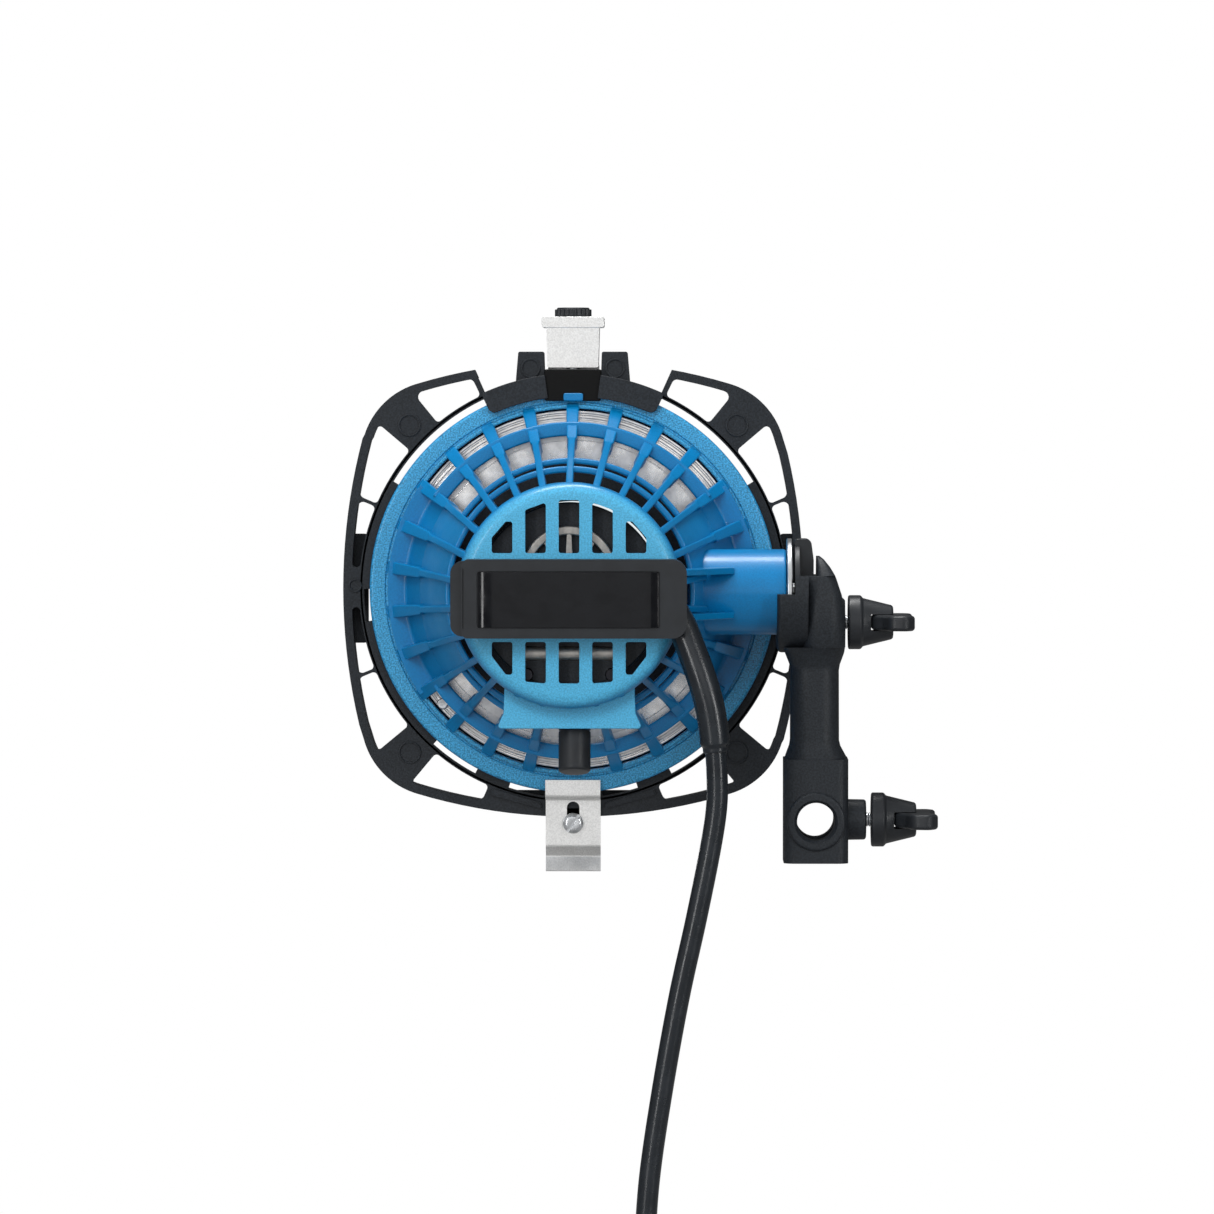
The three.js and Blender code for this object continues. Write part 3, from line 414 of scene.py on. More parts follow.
class Shader:
    """A material's node tree, with short calls for the nodes used here."""

    def __init__(self, name):
        self.material = bpy.data.materials.new(name)
        self.material.use_nodes = True
        self.nodes = self.material.node_tree.nodes
        self.surface = self.nodes["Principled BSDF"]
        self.place = self.nodes.new("ShaderNodeTexCoord").outputs["Object"]

    def link(self, start, end):
        self.material.node_tree.links.new(start, end)

    def noise(self, scale, detail=3.0, stretch=None):
        """Noise whose grains are about 1/scale metres; stretch squeezes it along the axes."""
        texture = self.nodes.new("ShaderNodeTexNoise")
        socket_value(texture, "Scale", scale)
        socket_value(texture, "Detail", detail)
        place = self.place
        if stretch:
            mapping = self.nodes.new("ShaderNodeMapping")
            socket_value(mapping, "Scale", stretch)
            self.link(place, mapping.inputs["Vector"])
            place = mapping.outputs["Vector"]
        self.link(place, texture.inputs["Vector"])
        return texture.outputs["Fac"]

    def ramp(self, factor, low, high, start=0.35, end=0.65):
        """A colour ramp between two colours."""
        ramp = self.nodes.new("ShaderNodeValToRGB")
        ramp.color_ramp.elements[0].position = start
        ramp.color_ramp.elements[0].color = (*low, 1)
        ramp.color_ramp.elements[1].position = end
        ramp.color_ramp.elements[1].color = (*high, 1)
        self.link(factor, ramp.inputs["Fac"])
        return ramp.outputs["Color"]

    def range(self, factor, low, high):
        """Maps a factor to a span of numbers."""
        mapping = self.nodes.new("ShaderNodeMapRange")
        socket_value(mapping, "From Min", 0.3)
        socket_value(mapping, "From Max", 0.7)
        socket_value(mapping, "To Min", low)
        socket_value(mapping, "To Max", high)
        self.link(factor, mapping.inputs["Value"])
        return mapping.outputs["Result"]

    def bump(self, factor, height, under=None):
        """A bump of the given height in millimetres, on top of another one."""
        bump = self.nodes.new("ShaderNodeBump")
        socket_value(bump, "Strength", 1.0)
        socket_value(bump, "Distance", height * MM)
        self.link(factor, bump.inputs["Height"])
        if under is not None:
            self.link(under, bump.inputs["Normal"])
        return bump.outputs["Normal"]

    def tint(self, color, factor):
        """Multiplies one colour output by another."""
        product = self.nodes.new("ShaderNodeMix")
        product.data_type = "RGBA"
        product.blend_type = "MULTIPLY"
        socket_value(product, 0, 1.0)
        self.link(color, product.inputs[6])
        self.link(factor, product.inputs[7])
        return product.outputs[2]

    def finish(self, color, roughness, normal, metallic=0.0, coat=0.0):
        """Connects colour, roughness and normal outputs to the surface."""
        self.link(color, self.surface.inputs["Base Color"])
        self.link(roughness, self.surface.inputs["Roughness"])
        self.link(normal, self.surface.inputs["Normal"])
        socket_value(self.surface, "Metallic", metallic)
        socket_value(self.surface, "Coat Weight", coat)
        socket_value(self.surface, "Coat Roughness", 0.12)
        return self.material


def shade(color, factor):
    """A colour made lighter or darker."""
    return tuple(min(1.0, c * factor) for c in color)


def painted_metal(name, painted_sheen_tone, oblique, roughness, grain, depth, speck=0.14, specular=0.5, coat=0.0):
    """Speckled paint with a slow drift of gloss; a lighter face-on tone gives a painted sheen on surfaces
    turned to the camera.
    """
    shader = Shader(name)
    fine = shader.noise(grain, 2.0)
    slow = shader.noise(60, 2.0)
    painted_sheen_mask = shader.nodes.new("ShaderNodeLayerWeight")
    socket_value(painted_sheen_mask, "Blend", 0.5)
    # Painted sheen: surfaces turned to the camera take the lighter tone, the others the deep one.
    body = shader.ramp(painted_sheen_mask.outputs["Facing"], painted_sheen_tone, oblique, 0.1, 0.7)
    grains = shader.ramp(fine, shade((1, 1, 1), 1 - speck), (1 + speck,) * 3, 0.38, 0.62)
    tone = shader.tint(body, grains)
    rough = shader.range(slow, roughness - 0.05, roughness + 0.05)
    socket_value(shader.surface, "Specular IOR Level", specular)
    normal = shader.bump(fine, depth, shader.bump(slow, 0.05))
    return shader.finish(tone, rough, normal, coat=coat)


def moulded_plastic(name, color, roughness, grain=2600, depth=0.012, specular=0.5):
    """Moulded plastic or rubber: an even spark-eroded grain and faint handling marks."""
    shader = Shader(name)
    fine = shader.noise(grain, 1.0)
    marks = shader.noise(120, 4.0)
    tone = shader.ramp(marks, shade(color, 0.85), shade(color, 1.15))
    rough = shader.range(marks, roughness - 0.06, roughness + 0.06)
    socket_value(shader.surface, "Specular IOR Level", specular)
    normal = shader.bump(fine, depth, shader.bump(marks, 0.02))
    return shader.finish(tone, rough, normal)


def bare_metal(name, color, roughness, stretch, grain=900, depth=0.006):
    """Rolled, turned or cast metal; stretch sets the direction of the brushing."""
    shader = Shader(name)
    brushed = shader.noise(grain, 3.0, stretch)
    marks = shader.noise(90, 3.0)
    tone = shader.ramp(brushed, shade(color, 0.9), shade(color, 1.08))
    rough = shader.range(marks, roughness - 0.05, roughness + 0.08)
    normal = shader.bump(brushed, depth)
    return shader.finish(tone, rough, normal, metallic=1.0)


def clear_glass(name, tint):
    """Thin clear glass: mostly see-through, with a glossy reflection and faint waviness."""
    shader = Shader(name)
    clear = shader.nodes.new("ShaderNodeBsdfTransparent")
    socket_value(clear, "Color", (*tint, 1))
    gloss = shader.nodes.new("ShaderNodeBsdfGlossy")
    socket_value(gloss, "Roughness", 0.04)
    waves = shader.bump(shader.noise(150, 2.0), 0.02)
    fresnel = shader.nodes.new("ShaderNodeFresnel")
    socket_value(fresnel, "IOR", 1.5)
    blend = shader.nodes.new("ShaderNodeMixShader")
    shader.link(waves, gloss.inputs["Normal"])
    shader.link(waves, fresnel.inputs["Normal"])
    shader.link(fresnel.outputs["Fac"], blend.inputs["Fac"])
    shader.link(clear.outputs[0], blend.inputs[1])
    shader.link(gloss.outputs[0], blend.inputs[2])
    output = shader.nodes["Material Output"]
    shader.link(blend.outputs[0], output.inputs["Surface"])
    return shader.material


# Painted sheen: the lighter blue of surfaces turned to the camera; the second colour is the paint's own deep
# blue.
BLUE_PAINTED_SHEEN = (0.065, 0.35, 0.57)
BLUE_OBLIQUE = (0.0, 0.165, 0.4)
PAINT_BLACK = (0.013, 0.016, 0.02)
SHADOW_BLACK = (0.003, 0.003, 0.003)
MOULDED_BLACK = (0.012, 0.014, 0.017)


def blue_paint(name, painted_sheen_share, grain, depth, speck):
    """The housing's blue; the share mixes in the painted sheen on surfaces turned to the camera, and at 0
    keeps the deep oblique tone.
    """
    painted_sheen_tone = tuple(o + (f - o) * painted_sheen_share for f, o in zip(BLUE_PAINTED_SHEEN, BLUE_OBLIQUE))
    return painted_metal(name, painted_sheen_tone, BLUE_OBLIQUE, 0.34, grain, depth, speck, 0.3, 0.2), "blue_paint"


def black_paint(name, color, grain, depth, speck, specular):
    """Black paint, the same from every side."""
    return painted_metal(name, color, color, 0.5, grain, depth, speck, specular), "black_paint"


# The hub and ring copies carry the painted sheen, in full and in part; the plain blue has none.
BLUE = blue_paint("blue paint", 0.0, 1500, 0.02, 0.08)
BLUE_HUB_WITH_SHEEN = blue_paint("blue paint with painted sheen on the hub", 1.0, 1500, 0.04, 0.16)
BLUE_RING_WITH_SHEEN = blue_paint("blue paint with painted sheen on the ring", 0.6, 1500, 0.08, 0.4)
BLACK = black_paint("black powder coat", PAINT_BLACK, 1300, 0.05, 0.3, 0.3)
# Smooth black for the latch seat, darker than the frame's black as painted shade for the shadow it sits in.
SMOOTH_BLACK_PAINTED_SHADE = black_paint("smooth black paint darkened as painted shade", SHADOW_BLACK, 900, 0.01, 0.1, 0.15)
PLASTIC = (moulded_plastic("black plastic", MOULDED_BLACK, 0.42, specular=0.4), "black_plastic")
GLOSS = (moulded_plastic("gloss plate", (0.004, 0.0045, 0.006), 0.12, 400, 0.002, 0.25), "gloss_plate")
RUBBER = (moulded_plastic("rubber", (0.006, 0.009, 0.013), 0.27, 1400, 0.012, 0.5), "rubber")
SHEET = (bare_metal("silver sheet", (0.92, 0.92, 0.91), 0.34, (1, 1, 1), 1600, 0.003), "silver_sheet")
SHIELD = (bare_metal("bright shield sheet", (0.9, 0.89, 0.88), 0.26, (1, 1, 1), 300, 0.0005), "silver_sheet")
STEEL = (bare_metal("zinc plated steel", (0.66, 0.68, 0.7), 0.3, (6, 1, 1)), "steel")
DARK_STEEL = (bare_metal("blackened steel", (0.03, 0.03, 0.035), 0.4, (6, 1, 1)), "steel")
CAST = (bare_metal("cast aluminium", (0.46, 0.44, 0.41), 0.5, (1, 1, 1), 700, 0.03), "cast_aluminium")
MIRROR = (bare_metal("mirror", (0.9, 0.9, 0.9), 0.12, (1, 1, 1), 300, 0.001), "mirror")
BRASS = (bare_metal("brass", (0.62, 0.44, 0.17), 0.3, (8, 1, 1)), "brass")
CERAMIC = (moulded_plastic("ceramic", (0.72, 0.68, 0.6), 0.6, 1200, 0.02), "ceramic")
LENS_GLASS = (clear_glass("lens glass", (0.93, 0.97, 0.98)), "lens_glass")
LAMP_GLASS = (clear_glass("lamp glass", (0.97, 0.97, 0.97)), "lamp_glass")


# ---- Rear housing -------------------------------------------------------------------------------


def hub_shell():
    """The cup-shaped hub with its rounded rim."""
    outer, flat, front, wall = HUB["radius"], HUB["flat"], HUB["front"], HUB["wall"]
    rim = outer - flat
    profile = rounded(
        [
            (0, HUB_FACE, 0),
            (outer, HUB_FACE, rim),
            (outer, front, 0.6),
            (outer - wall, front, 0.6),
            (outer - wall, HUB_FACE + wall, 2.4),
            (0, HUB_FACE + wall, 0),
        ],
        8,
    )
    return revolve(profile, steps=180)


def rim_height(x):
    """Height of the slots' round boundary at a given X."""
    return math.sqrt(SLOT["reach"] ** 2 - x**2)


def slot_outline(middle, limits):
    """One vent slot, drawn upwards; its far end follows the hub's round edge."""
    half, near = SLOT["width"] / 2, limits["near"]
    left, right = middle - half, middle + half
    if abs(middle) > 1.5 * SLOT["pitch"]:
        return corner_slot_outline(left, right, limits)
    sign = math.copysign(1, near)
    far_left, far_right = (sign * min(abs(limits["far"]), rim_height(x)) for x in (left, right))
    corners = [(left, near), (right, near), (right, far_right), (left, far_left)]
    return rounded(evenly(corners, SLOT["corner"]), 4)


def corner_slot_outline(left, right, limits):
    """One of the four outermost slots, whose outer corner is cut away."""
    inner, outer = (left, right) if right > 0 else (right, left)
    notch = inner + math.copysign(SLOT["notch"], outer)
    near, far, shoulder = limits["near"], limits["outer_far"], limits["shoulder"]
    corners = [(inner, near), (outer, near), (outer, shoulder), (notch, far), (inner, far)]
    return rounded(evenly(corners, SLOT["corner"]), 4)


def hub_slots():
    """Cutters for the five slots above the cover bar and the five below it."""
    span = (HUB_FACE - 2, HUB_FACE + HUB["wall"] + 2)
    middles = [i * SLOT["pitch"] for i in range(-2, 3)]
    return [prism(slot_outline(m, row), *span) for m in middles for row in (SLOT_TOP, SLOT_BOTTOM)]


def rib(angle):
    """One cooling rib: thin from the hub to the kink, then widening to the ring."""
    stations = [
        ((46, -53.5), (45.4, -36), 1.5, 1.5),
        ((49.5, -48.5), (47, -34), 1.5, 1.5),
        ((66, 7.5), (60, 12), 1.5, 1.6),
        ((66.9, 9.4), (61.2, 14), 2.2, 2.2),
        ((80, 33), (76, 38), 2.8, 2.8),
        ((82, 38), (79, 40), 2.8, 2.8),
    ]
    turn = math.radians(angle)
    out, side = Vector((math.cos(turn), 0, math.sin(turn))), Vector((-math.sin(turn), 0, math.cos(turn)))
    sections = []
    for (r0, y0), (r1, y1), near, far in stations:
        rear, front = out * r0 + Vector((0, y0, 0)), out * r1 + Vector((0, y1, 0))
        corners = [rear - side * near, rear + side * near, front + side * far, front - side * far]
        sections.append([tuple(c) for c in corners])
    return loft(sections)


def rib_angles():
    """Rib directions; the bottom one is left out for the focus knob."""
    pitch = 360 / RIBS["count"]
    angles = [90 + i * pitch for i in range(RIBS["count"])]
    return [a for a in angles if abs(a - 270) > 1]


def ring_flange():
    """The wide front ring, with a fine groove round its rear face."""
    groove, rear, front = RING["groove"], RING["rear"], RING["front"]
    corners = [
        (RING["inner"], rear - 2, 0.8),
        (groove - 0.6, rear - 2, 0.5),
        (groove - 0.4, rear + 0.6, 0.1),
        (groove + 0.4, rear + 0.6, 0.1),
        (groove + 0.8, rear, 0.5),
        (RING["outer"], rear, 1.6),
        (RING["outer"], front, 0.5),
        (RING["inner"], front, 0.5),
    ]
    return revolve(rounded(corners), steps=200)


def hoop(inner, outer, rear, front):
    """A rounded hoop that ties the ribs together, cut into the two stretches of open bays."""
    spans = [(CLOSED_BAYS[1][1], CLOSED_BAYS[0][0]), (CLOSED_BAYS[0][1], 360 + CLOSED_BAYS[1][0])]
    profile = rectangle(inner, outer, rear, front, 0.9, 4)
    return [revolve(profile, start=start, end=end, steps=80) for start, end in spans]


def knob_gap():
    """Clears the two rear hoops from the path of the focus knob."""
    half = math.tan(math.radians((KNOB_BAY[1] - KNOB_BAY[0]) / 2))
    return prism([(-40 * half, -40), (-64 * half, -64), (64 * half, -64), (40 * half, -40)], -60, 0)


def closed_wall(start, end):
    """The smooth wall behind the closed bays: a lip and a slit at the hub, a flat ledge at its front."""
    corners = [
        (53.2, -31.5, 1.0),
        (66, 16, 6),
        (72.4, 31, 2),
        (80.6, 31, 0.3),
        (80.6, 34, 0.3),
        (70, 34, 2),
        (63.4, 17, 6),
        (50.6, -31.5, 0.8),
    ]
    return revolve(rounded(corners), start=start, end=end, steps=60)


def pivot_boss():
    """The round boss that reaches from the hub to the brake."""
    bore, radius, start = BOSS["bore"], BOSS["radius"], BOSS["start"]
    corners = [
        (bore, start, 0),
        (radius + 0.8, start, 0),
        (radius + 0.8, start + 4, 1.5),
        (radius, start + 6.5, 1.5),
        (radius, BOSS_END, 1.2),
        (bore, BOSS_END, 0.6),
    ]
    return revolve(rounded(corners), axis="X", steps=96)


def boss_webs():
    """Two short ribs that tie the boss to the hub."""
    outline = rounded(evenly([(44, -56), (50, -52), (70, -17), (70, -8), (44, -30)], 1.2))
    return [prism(outline, z - 1.4, z + 1.4, axis="Z") for z in BOSS_WEBS]


def knob_shelf():
    """The ledge under the hub, above the focus knob, with its sloping ends."""
    right = [(31, -56.6, 1.4), (28, -50, 2), (27.5, -38, 1)]
    left = [(-x, z, radius) for x, z, radius in right[::-1]]
    return prism(rounded(left + right), -50, -44)


def casting_lugs():
    """Small cast lugs on the ring, at the top and at the bottom."""
    return [
        box_shape((-4, 4.5), (31.4, 38), (82.2, 85.6), 0.8),
        box_shape((-2.6, 2.6), (30, 40), (-80.4, -76), 1.0),
    ]


def build_housing():
    """The blue die casting, joined from its parts with rounded edges."""
    hoops = [*hoop(67, 73.2, 18, 24), *hoop(55.2, 57.8, -20, -13), *hoop(51.6, 54.4, -32, -25)]
    walls = [closed_wall(*bay) for bay in CLOSED_BAYS]
    add_piece("housing_hub", [hub_shell()], BLUE_HUB_WITH_SHEEN, "head", cuts=hub_slots(), bevel=0.45)
    add_piece("housing_ribs", [rib(a) for a in rib_angles()], BLUE, "head", bevel=RIBS["bevel"])
    add_piece("housing_ring", [ring_flange()], BLUE_RING_WITH_SHEEN, "head", bevel=0)
    add_piece("housing_hoops", hoops, BLUE, "head", cuts=[knob_gap()], bevel=0)
    add_piece("housing_walls", walls, BLUE, "head", bevel=0.3)
    boss = add_piece("housing_boss", [pivot_boss(), *boss_webs()], BLUE, "head", bevel=0.4)
    add_piece("housing_shelf", [knob_shelf()], BLUE_HUB_WITH_SHEEN, "head", bevel=0.5)
    add_piece("housing_lugs", casting_lugs(), BLUE, "head", bevel=0.5)
    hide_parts("rear_housing")


# ---- Cover bar, plate and cable -----------------------------------------------------------------


def build_cover():
    """The moulded cover bar with its set-back end cap, and the glossy plate in its recess."""
    x, z = span_mm("terminal_cover", 0, HEAD), span_mm("terminal_cover", 2, HEAD)
    face, base = span_mm("terminal_cover", 1, HEAD)
    step, cap_end = x[0] + COVER["step"], x[0] + COVER["step"] + 6
    low, high = z[0] + COVER["cap"], z[1] - COVER["cap"]
    bar = [(step, z[0], 3), (x[1], z[0], 6), (x[1], z[1], 6), (step, z[1], 3)]
    cap = [(x[0], low, 5), (cap_end, low, 0.3), (cap_end, high, 0.3), (x[0], high, 5)]
    body = [prism(rounded(bar, 8), face, base), prism(rounded(cap, 8), face + 2 * COVER["cap"], base)]
    plate_x, plate_z = span_mm("cover_plate", 0, HEAD), span_mm("cover_plate", 2, HEAD)
    room = rectangle(plate_x[0] - 0.5, plate_x[1] + 0.5, plate_z[0] - 0.5, plate_z[1] + 0.5, 1.6)
    recess = prism(room, face - 1, face + COVER["recess"])
    groove = box_shape((step + 0.6, step + 1.3), (face - 1, face + 0.7), (z[0] + 4, z[1] - 4))
    cuts = [recess, groove]
    add_piece("cover_bar", body, PLASTIC, "head", ["terminal_cover"], cuts=cuts, bevel=0.9, segments=4)
    plate = domed_plate(plate_x, plate_z, *span_mm("cover_plate", 1, HEAD))
    add_piece("cover_label_plate", [plate], GLOSS, "head", ["cover_plate"], bevel=0.35)


def domed_plate(x, z, face, base, columns=160):
    """A thin plate whose ends curve back a little, as resin on a label does."""
    outline = []
    for i in range(columns + 1):
        t = -1 + 2 * i / columns
        across = x[0] + (x[1] - x[0]) * i / columns
        outline.append((across, face + LABEL_BEND * abs(t) ** 12))
    outline += [(x[1], base), (x[0], base)]
    return prism(outline, *z, axis="Z")


def cable_path():
    """Middle line of the cable from the boot to the connector."""
    points = [
        (61.5, -67.4, -62), (62.3, -66.9, -74), (62.2, -66.5, -88), (59.6, -66, -106), (53.6, -65.6, -136),
        (46.4, -65, -169), (39.4, -64.4, -208), (34, -64, -245), (32, -64, -275), (32, -64, -294),
    ]
    return smooth_path(points, 14)


def boot_path():
    """Middle line of the boot, from inside the cover bar to the cable."""
    points = [(43.4, -64.7, -6), (47.4, -64.9, -12), (51, -66.2, -21), (55, -67.6, -32), (58.4, -68, -43),
              (60.6, -67.8, -54), (61.7, -67.4, -65.5)]
    return smooth_path(points, 10)


def build_boot():
    """The rubber boot: thicker where it leaves the bar, and necked at its lower end."""
    line = boot_path()
    radii = [BOOT["radius"]] * len(line)
    for i in range(3, 6):
        radii[i] += BOOT["swell"]
    for i in range(-3, 0):
        radii[i] -= BOOT["neck"]
    add_piece("cable_boot_skin", [sweep(line, radii, 40)], RUBBER, "head", ["cable_boot"], bevel=0.8)


def connector_body():
    """The turned shell of the connector, with a thin groove round its grip."""
    top = CONNECTOR["top"]
    corners = [
        (4.6, top + 9, 0.6), (6.2, top + 8, 0.6), (6.8, top, 0.6), (8, top - 12, 2), (11, top - 16, 1.5),
        (11, top - 30, 0.2), (10.5, top - 30.4, 0.1), (10.5, top - 31.4, 0.1), (11, top - 31.8, 0.2),
        (11, top - 52, 1.0), (9.5, top - 55, 0.8), (0, top - 55, 0), (0, top + 9, 0),
    ]
    return revolve(rounded(corners), "Z", (CONNECTOR["x"], CONNECTOR["y"]), steps=64)


def build_cable():
    """Boot, cable and connector; the cable bends between the head and the arm."""
    build_boot()
    line = cable_path()
    cable = sweep(line, [CABLE_RADIUS] * len(line), 32)
    piece = add_piece("mains_cable", [cable], RUBBER, None, ["cable"], bevel=0)
    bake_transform(piece)
    add_piece("connector_body", [connector_body()], PLASTIC, "arm", ["cable_connector"], bevel=0)


# ---- Front frame --------------------------------------------------------------------------------


def frame_outline(inset, steps=20):
    """The frame's closed outline: four flat arcs joined by four corner arcs, drawn inwards."""
    side, end, (x, z) = OUTLINE["side"], OUTLINE["end"], OUTLINE["corner"]
    side_offset, end_offset = side - OUTLINE["half"], end - OUTLINE["height"]
    tilt = math.degrees(math.atan2(z, x + side_offset))
    lean = math.degrees(math.atan2(x, z + end_offset))
    round_corner = OUTLINE["corner_radius"] - inset
    arcs = [
        (-side_offset, 0, side - inset, -tilt, tilt),
        (x, z, round_corner, tilt, 90 - lean),
        (0, -end_offset, end - inset, 90 - lean, 90 + lean),
        (-x, z, round_corner, 90 + lean, 180 - tilt),
        (side_offset, 0, side - inset, 180 - tilt, 180 + tilt),
        (-x, -z, round_corner, 180 + tilt, 270 - lean),
        (0, end_offset, end - inset, 270 - lean, 270 + lean),
        (x, -z, round_corner, 270 + lean, 360 - tilt),
    ]
    points = []
    for across, up, radius, start, stop in arcs:
        points += arc(across, up, radius, start, stop, steps)[:-1]
    return points


def polar(point):
    """Angle in degrees from +X, and distance, of an outline point."""
    return math.degrees(math.atan2(point[1], point[0])) % 360, math.hypot(*point)


def outline_between(outline, start, stop):
    """The outline's points whose direction lies between two angles, with exact ends."""
    span = (stop - start) % 360 or 360
    ordered = sorted(((polar(p)[0] - start) % 360, p) for p in outline)
    inside = [p for turn, p in ordered if CORNER_CLEAR < turn < span - CORNER_CLEAR]
    return [outline_point(outline, start), *inside, outline_point(outline, stop)]


def outline_point(outline, angle):
    """Where a ray from the axis crosses the outline."""
    turned = sorted(((polar(p)[0] - angle + 180) % 360 - 180, p) for p in outline)
    after = next(i for i, (turn, _) in enumerate(turned) if turn >= 0)
    (t0, p0), (t1, p1) = turned[after - 1], turned[after]
    share = -t0 / (t1 - t0) if t1 != t0 else 0
    return (p0[0] + (p1[0] - p0[0]) * share, p0[1] + (p1[1] - p0[1]) * share)


def frame_rim():
    """The deep outer wall, open at the top where the brow sits."""
    outer = outline_between(frame_outline(0), 180 - TOP_GAP, TOP_GAP + 360)
    inner = outline_between(frame_outline(FRAME["rim"]), 180 - TOP_GAP, TOP_GAP + 360)
    return prism(outer + inner[::-1], FRAME["plate"] - 1, FRAME_FRONT)


def both_sides(spans):
    """Angle spans of the right half, with their mirror images on the left."""
    return [*spans, *[(180 - high, 180 - low) for low, high in spans]]


def window(start, stop):
    """One window between the ring and the rim, its four corners rounded."""
    ring = FRAME["ring"] + FRAME["ring_wall"]
    far = outline_between(frame_outline(FRAME["rim"]), start, stop)
    near = spaced_arc(ring, stop, start, CORNER_CLEAR + 0.5)
    corners = [(x, y, 0) for x, y in far] + [(x, y, 0) for x, y in near]
    for i in (0, len(far) - 1, len(far), len(corners) - 1):
        corners[i] = (*corners[i][:2], 2.6)
    return rounded(corners, 5)


def spaced_arc(radius, start, stop, clear, steps=14):
    """An arc about the axis whose end points stand apart, so that those corners can be rounded."""
    inset = math.copysign(clear, stop - start)
    ends = arc(0, 0, radius, start, stop, 1)
    return [ends[0], *arc(0, 0, radius, start + inset, stop - inset, steps), ends[1]]


def window_spans():
    """Angles of the gaps between the webs, on the right half."""
    limits = [TOP_GAP, *[angle for web in WEBS for angle in (web[1], web[0])], BOTTOM_WEB]
    return [(low, high) for high, low in zip(limits[::2], limits[1::2])]


def frame_web_plate():
    """The flat plate of webs between the ring and the rim, pierced by the windows."""
    ring = FRAME["ring"] + FRAME["ring_wall"]
    edge = outline_between(frame_outline(0), 180 - TOP_GAP, TOP_GAP + 360)
    edge += arc(0, 0, ring, TOP_GAP, 180 - TOP_GAP, 30)
    first_high = window_spans()[0][1] - 1.4
    spans = [(low, min(high, first_high)) for low, high in window_spans()]
    holes = [window(low, high) for low, high in both_sides(spans)]
    middle = arc(0, 0, ring - 1.4, 0, 360, 120)[:-1]
    return prism(edge, FRAME["rear"], FRAME["plate"], holes=[*holes, middle])


def inner_disc():
    """The dished disc that carries the lens, and the ring round it."""
    rear, plate, seat = FRAME["rear"], FRAME["plate"], FRAME["seat"]
    barrel = LENS_RADIUS + 0.5
    corners = [
        (barrel, rear + 2, 0.3),
        (LENS_RADIUS - 1.5, rear + 2, 0.3),
        (LENS_RADIUS - 1.5, rear, 0.3),
        (FRAME["ring"] + FRAME["ring_wall"], rear, 0.5),
        (FRAME["ring"] + FRAME["ring_wall"], plate, 0.5),
        (seat - 1, plate, 0.5),
        (seat - 3, rear + 3, 0.8),
        (barrel + 2.6, rear + 3, 0.8),
        (barrel + 2.6, FRAME_FRONT - 1, 0.6),
        (barrel, FRAME_FRONT - 1, 0.6),
    ]
    return revolve(rounded(corners, 4), steps=160)


def daylight_cutters():
    """Narrow curved gaps between the lens disc and the frame's thin ring."""
    profile = [(FRAME["seat"], 40), (FRAME["ring"], 40), (FRAME["ring"], 56), (FRAME["seat"], 56)]
    return [revolve(profile, start=low, end=high, steps=40) for low, high in both_sides(DAYLIGHT)]


def brow_half():
    """Half of the brow: a rounded face over the blue ring's edge, and the wall in front of it."""
    start, stop, outer, lip = TOP_GAP - 0.8, BROW["stop"], BROW["outer"], BROW["lip"]
    edge = spaced_arc(outer, start, stop, 2) + spaced_arc(BROW["inner"], stop, start, 4)
    corners = [(x, y, 0) for x, y in edge]
    corners[0] = (*edge[0], 1.2)
    corners[-1] = (*edge[-1], 5)
    face = prism(rounded(corners, 6), BROW["rear"], lip)
    wall = [(outer, lip - 1, 0), (outer, 49, 0.6), (89.5, 49, 0.3), (89.5, lip - 1, 0)]
    return [face, revolve(rounded(wall), start=start + 0.6, end=stop, steps=30)]


def latch_seat():
    """The plain block under the latch, and the face that hangs from it over the ring."""
    return [
        box_shape((-12.4, 12.4), (36.4, FRAME["plate"] + 2), (89, 96), 0.8),
        box_shape((-12.2, 12.2), (33.4, 36.6), (82.2, 96), 0.8),
    ]


def ear():
    """One of the two posts beside the latch, a little narrower at its top."""
    corners = [
        (12.2, 84, 0), (25.2, 84, 0), (24.8, 92, 1), (23.8, 103.7, 0.8), (12.6, 103.7, 0.8), (12.2, 92, 1),
    ]
    return prism(rounded(corners), EAR_REAR, FRAME["plate"])


def ring_mark(x, z, radius, surface):
    """A raised round line, as an ejector pin leaves on a casting."""
    profile = rectangle(radius - 0.8, radius, surface - 0.8, surface + 0.4, 0.3, 2)
    return revolve(profile, centre=(x, z), steps=48)


def accessory_lips():
    """Front lips that hold an accessory frame: one at each side and one below."""
    reach, depth = 9, (FRAME_FRONT - 2.4, FRAME_FRONT)
    side = OUTLINE["half"] - 1.6
    right = prism(rectangle(side - reach, side, -24, 24, 2), *depth)
    left = prism(rectangle(-side, reach - side, -24, 24, 2), *depth)
    return [right, left, prism(rectangle(-30, 30, -97.8, -88.8, 2), *depth)]


def ejector_marks():
    """Round casting marks on the corner webs, the side blocks and the ears, on both sides."""
    rear = FRAME["rear"]
    places = [
        (71.6, 71.6, 5, rear), (71.6, -71.6, 5, rear), (95.4, 1.5, 3, rear), (18.4, 96.5, 4.3, EAR_REAR),
    ]
    marks = [ring_mark(*place) for place in places]
    return [shape for mark in marks for shape in (mark, mirrored(mark))]


def clip_web():
    """The web behind the bottom clip, with a sloping rib on each side."""
    lug = box_shape((-10, 10), (FRAME["rear"], FRAME["plate"]), (-108.6, -96), 2.2)
    corners = evenly([(13.4, -96.4), (14.6, -93.4), (35.4, -87.4), (36, -90.2)], 0.8)
    rib_shape = prism(rounded(corners, 3), FRAME["rear"] - 1.6, FRAME["rear"] + 1)
    return [lug, rib_shape, mirrored(rib_shape)]


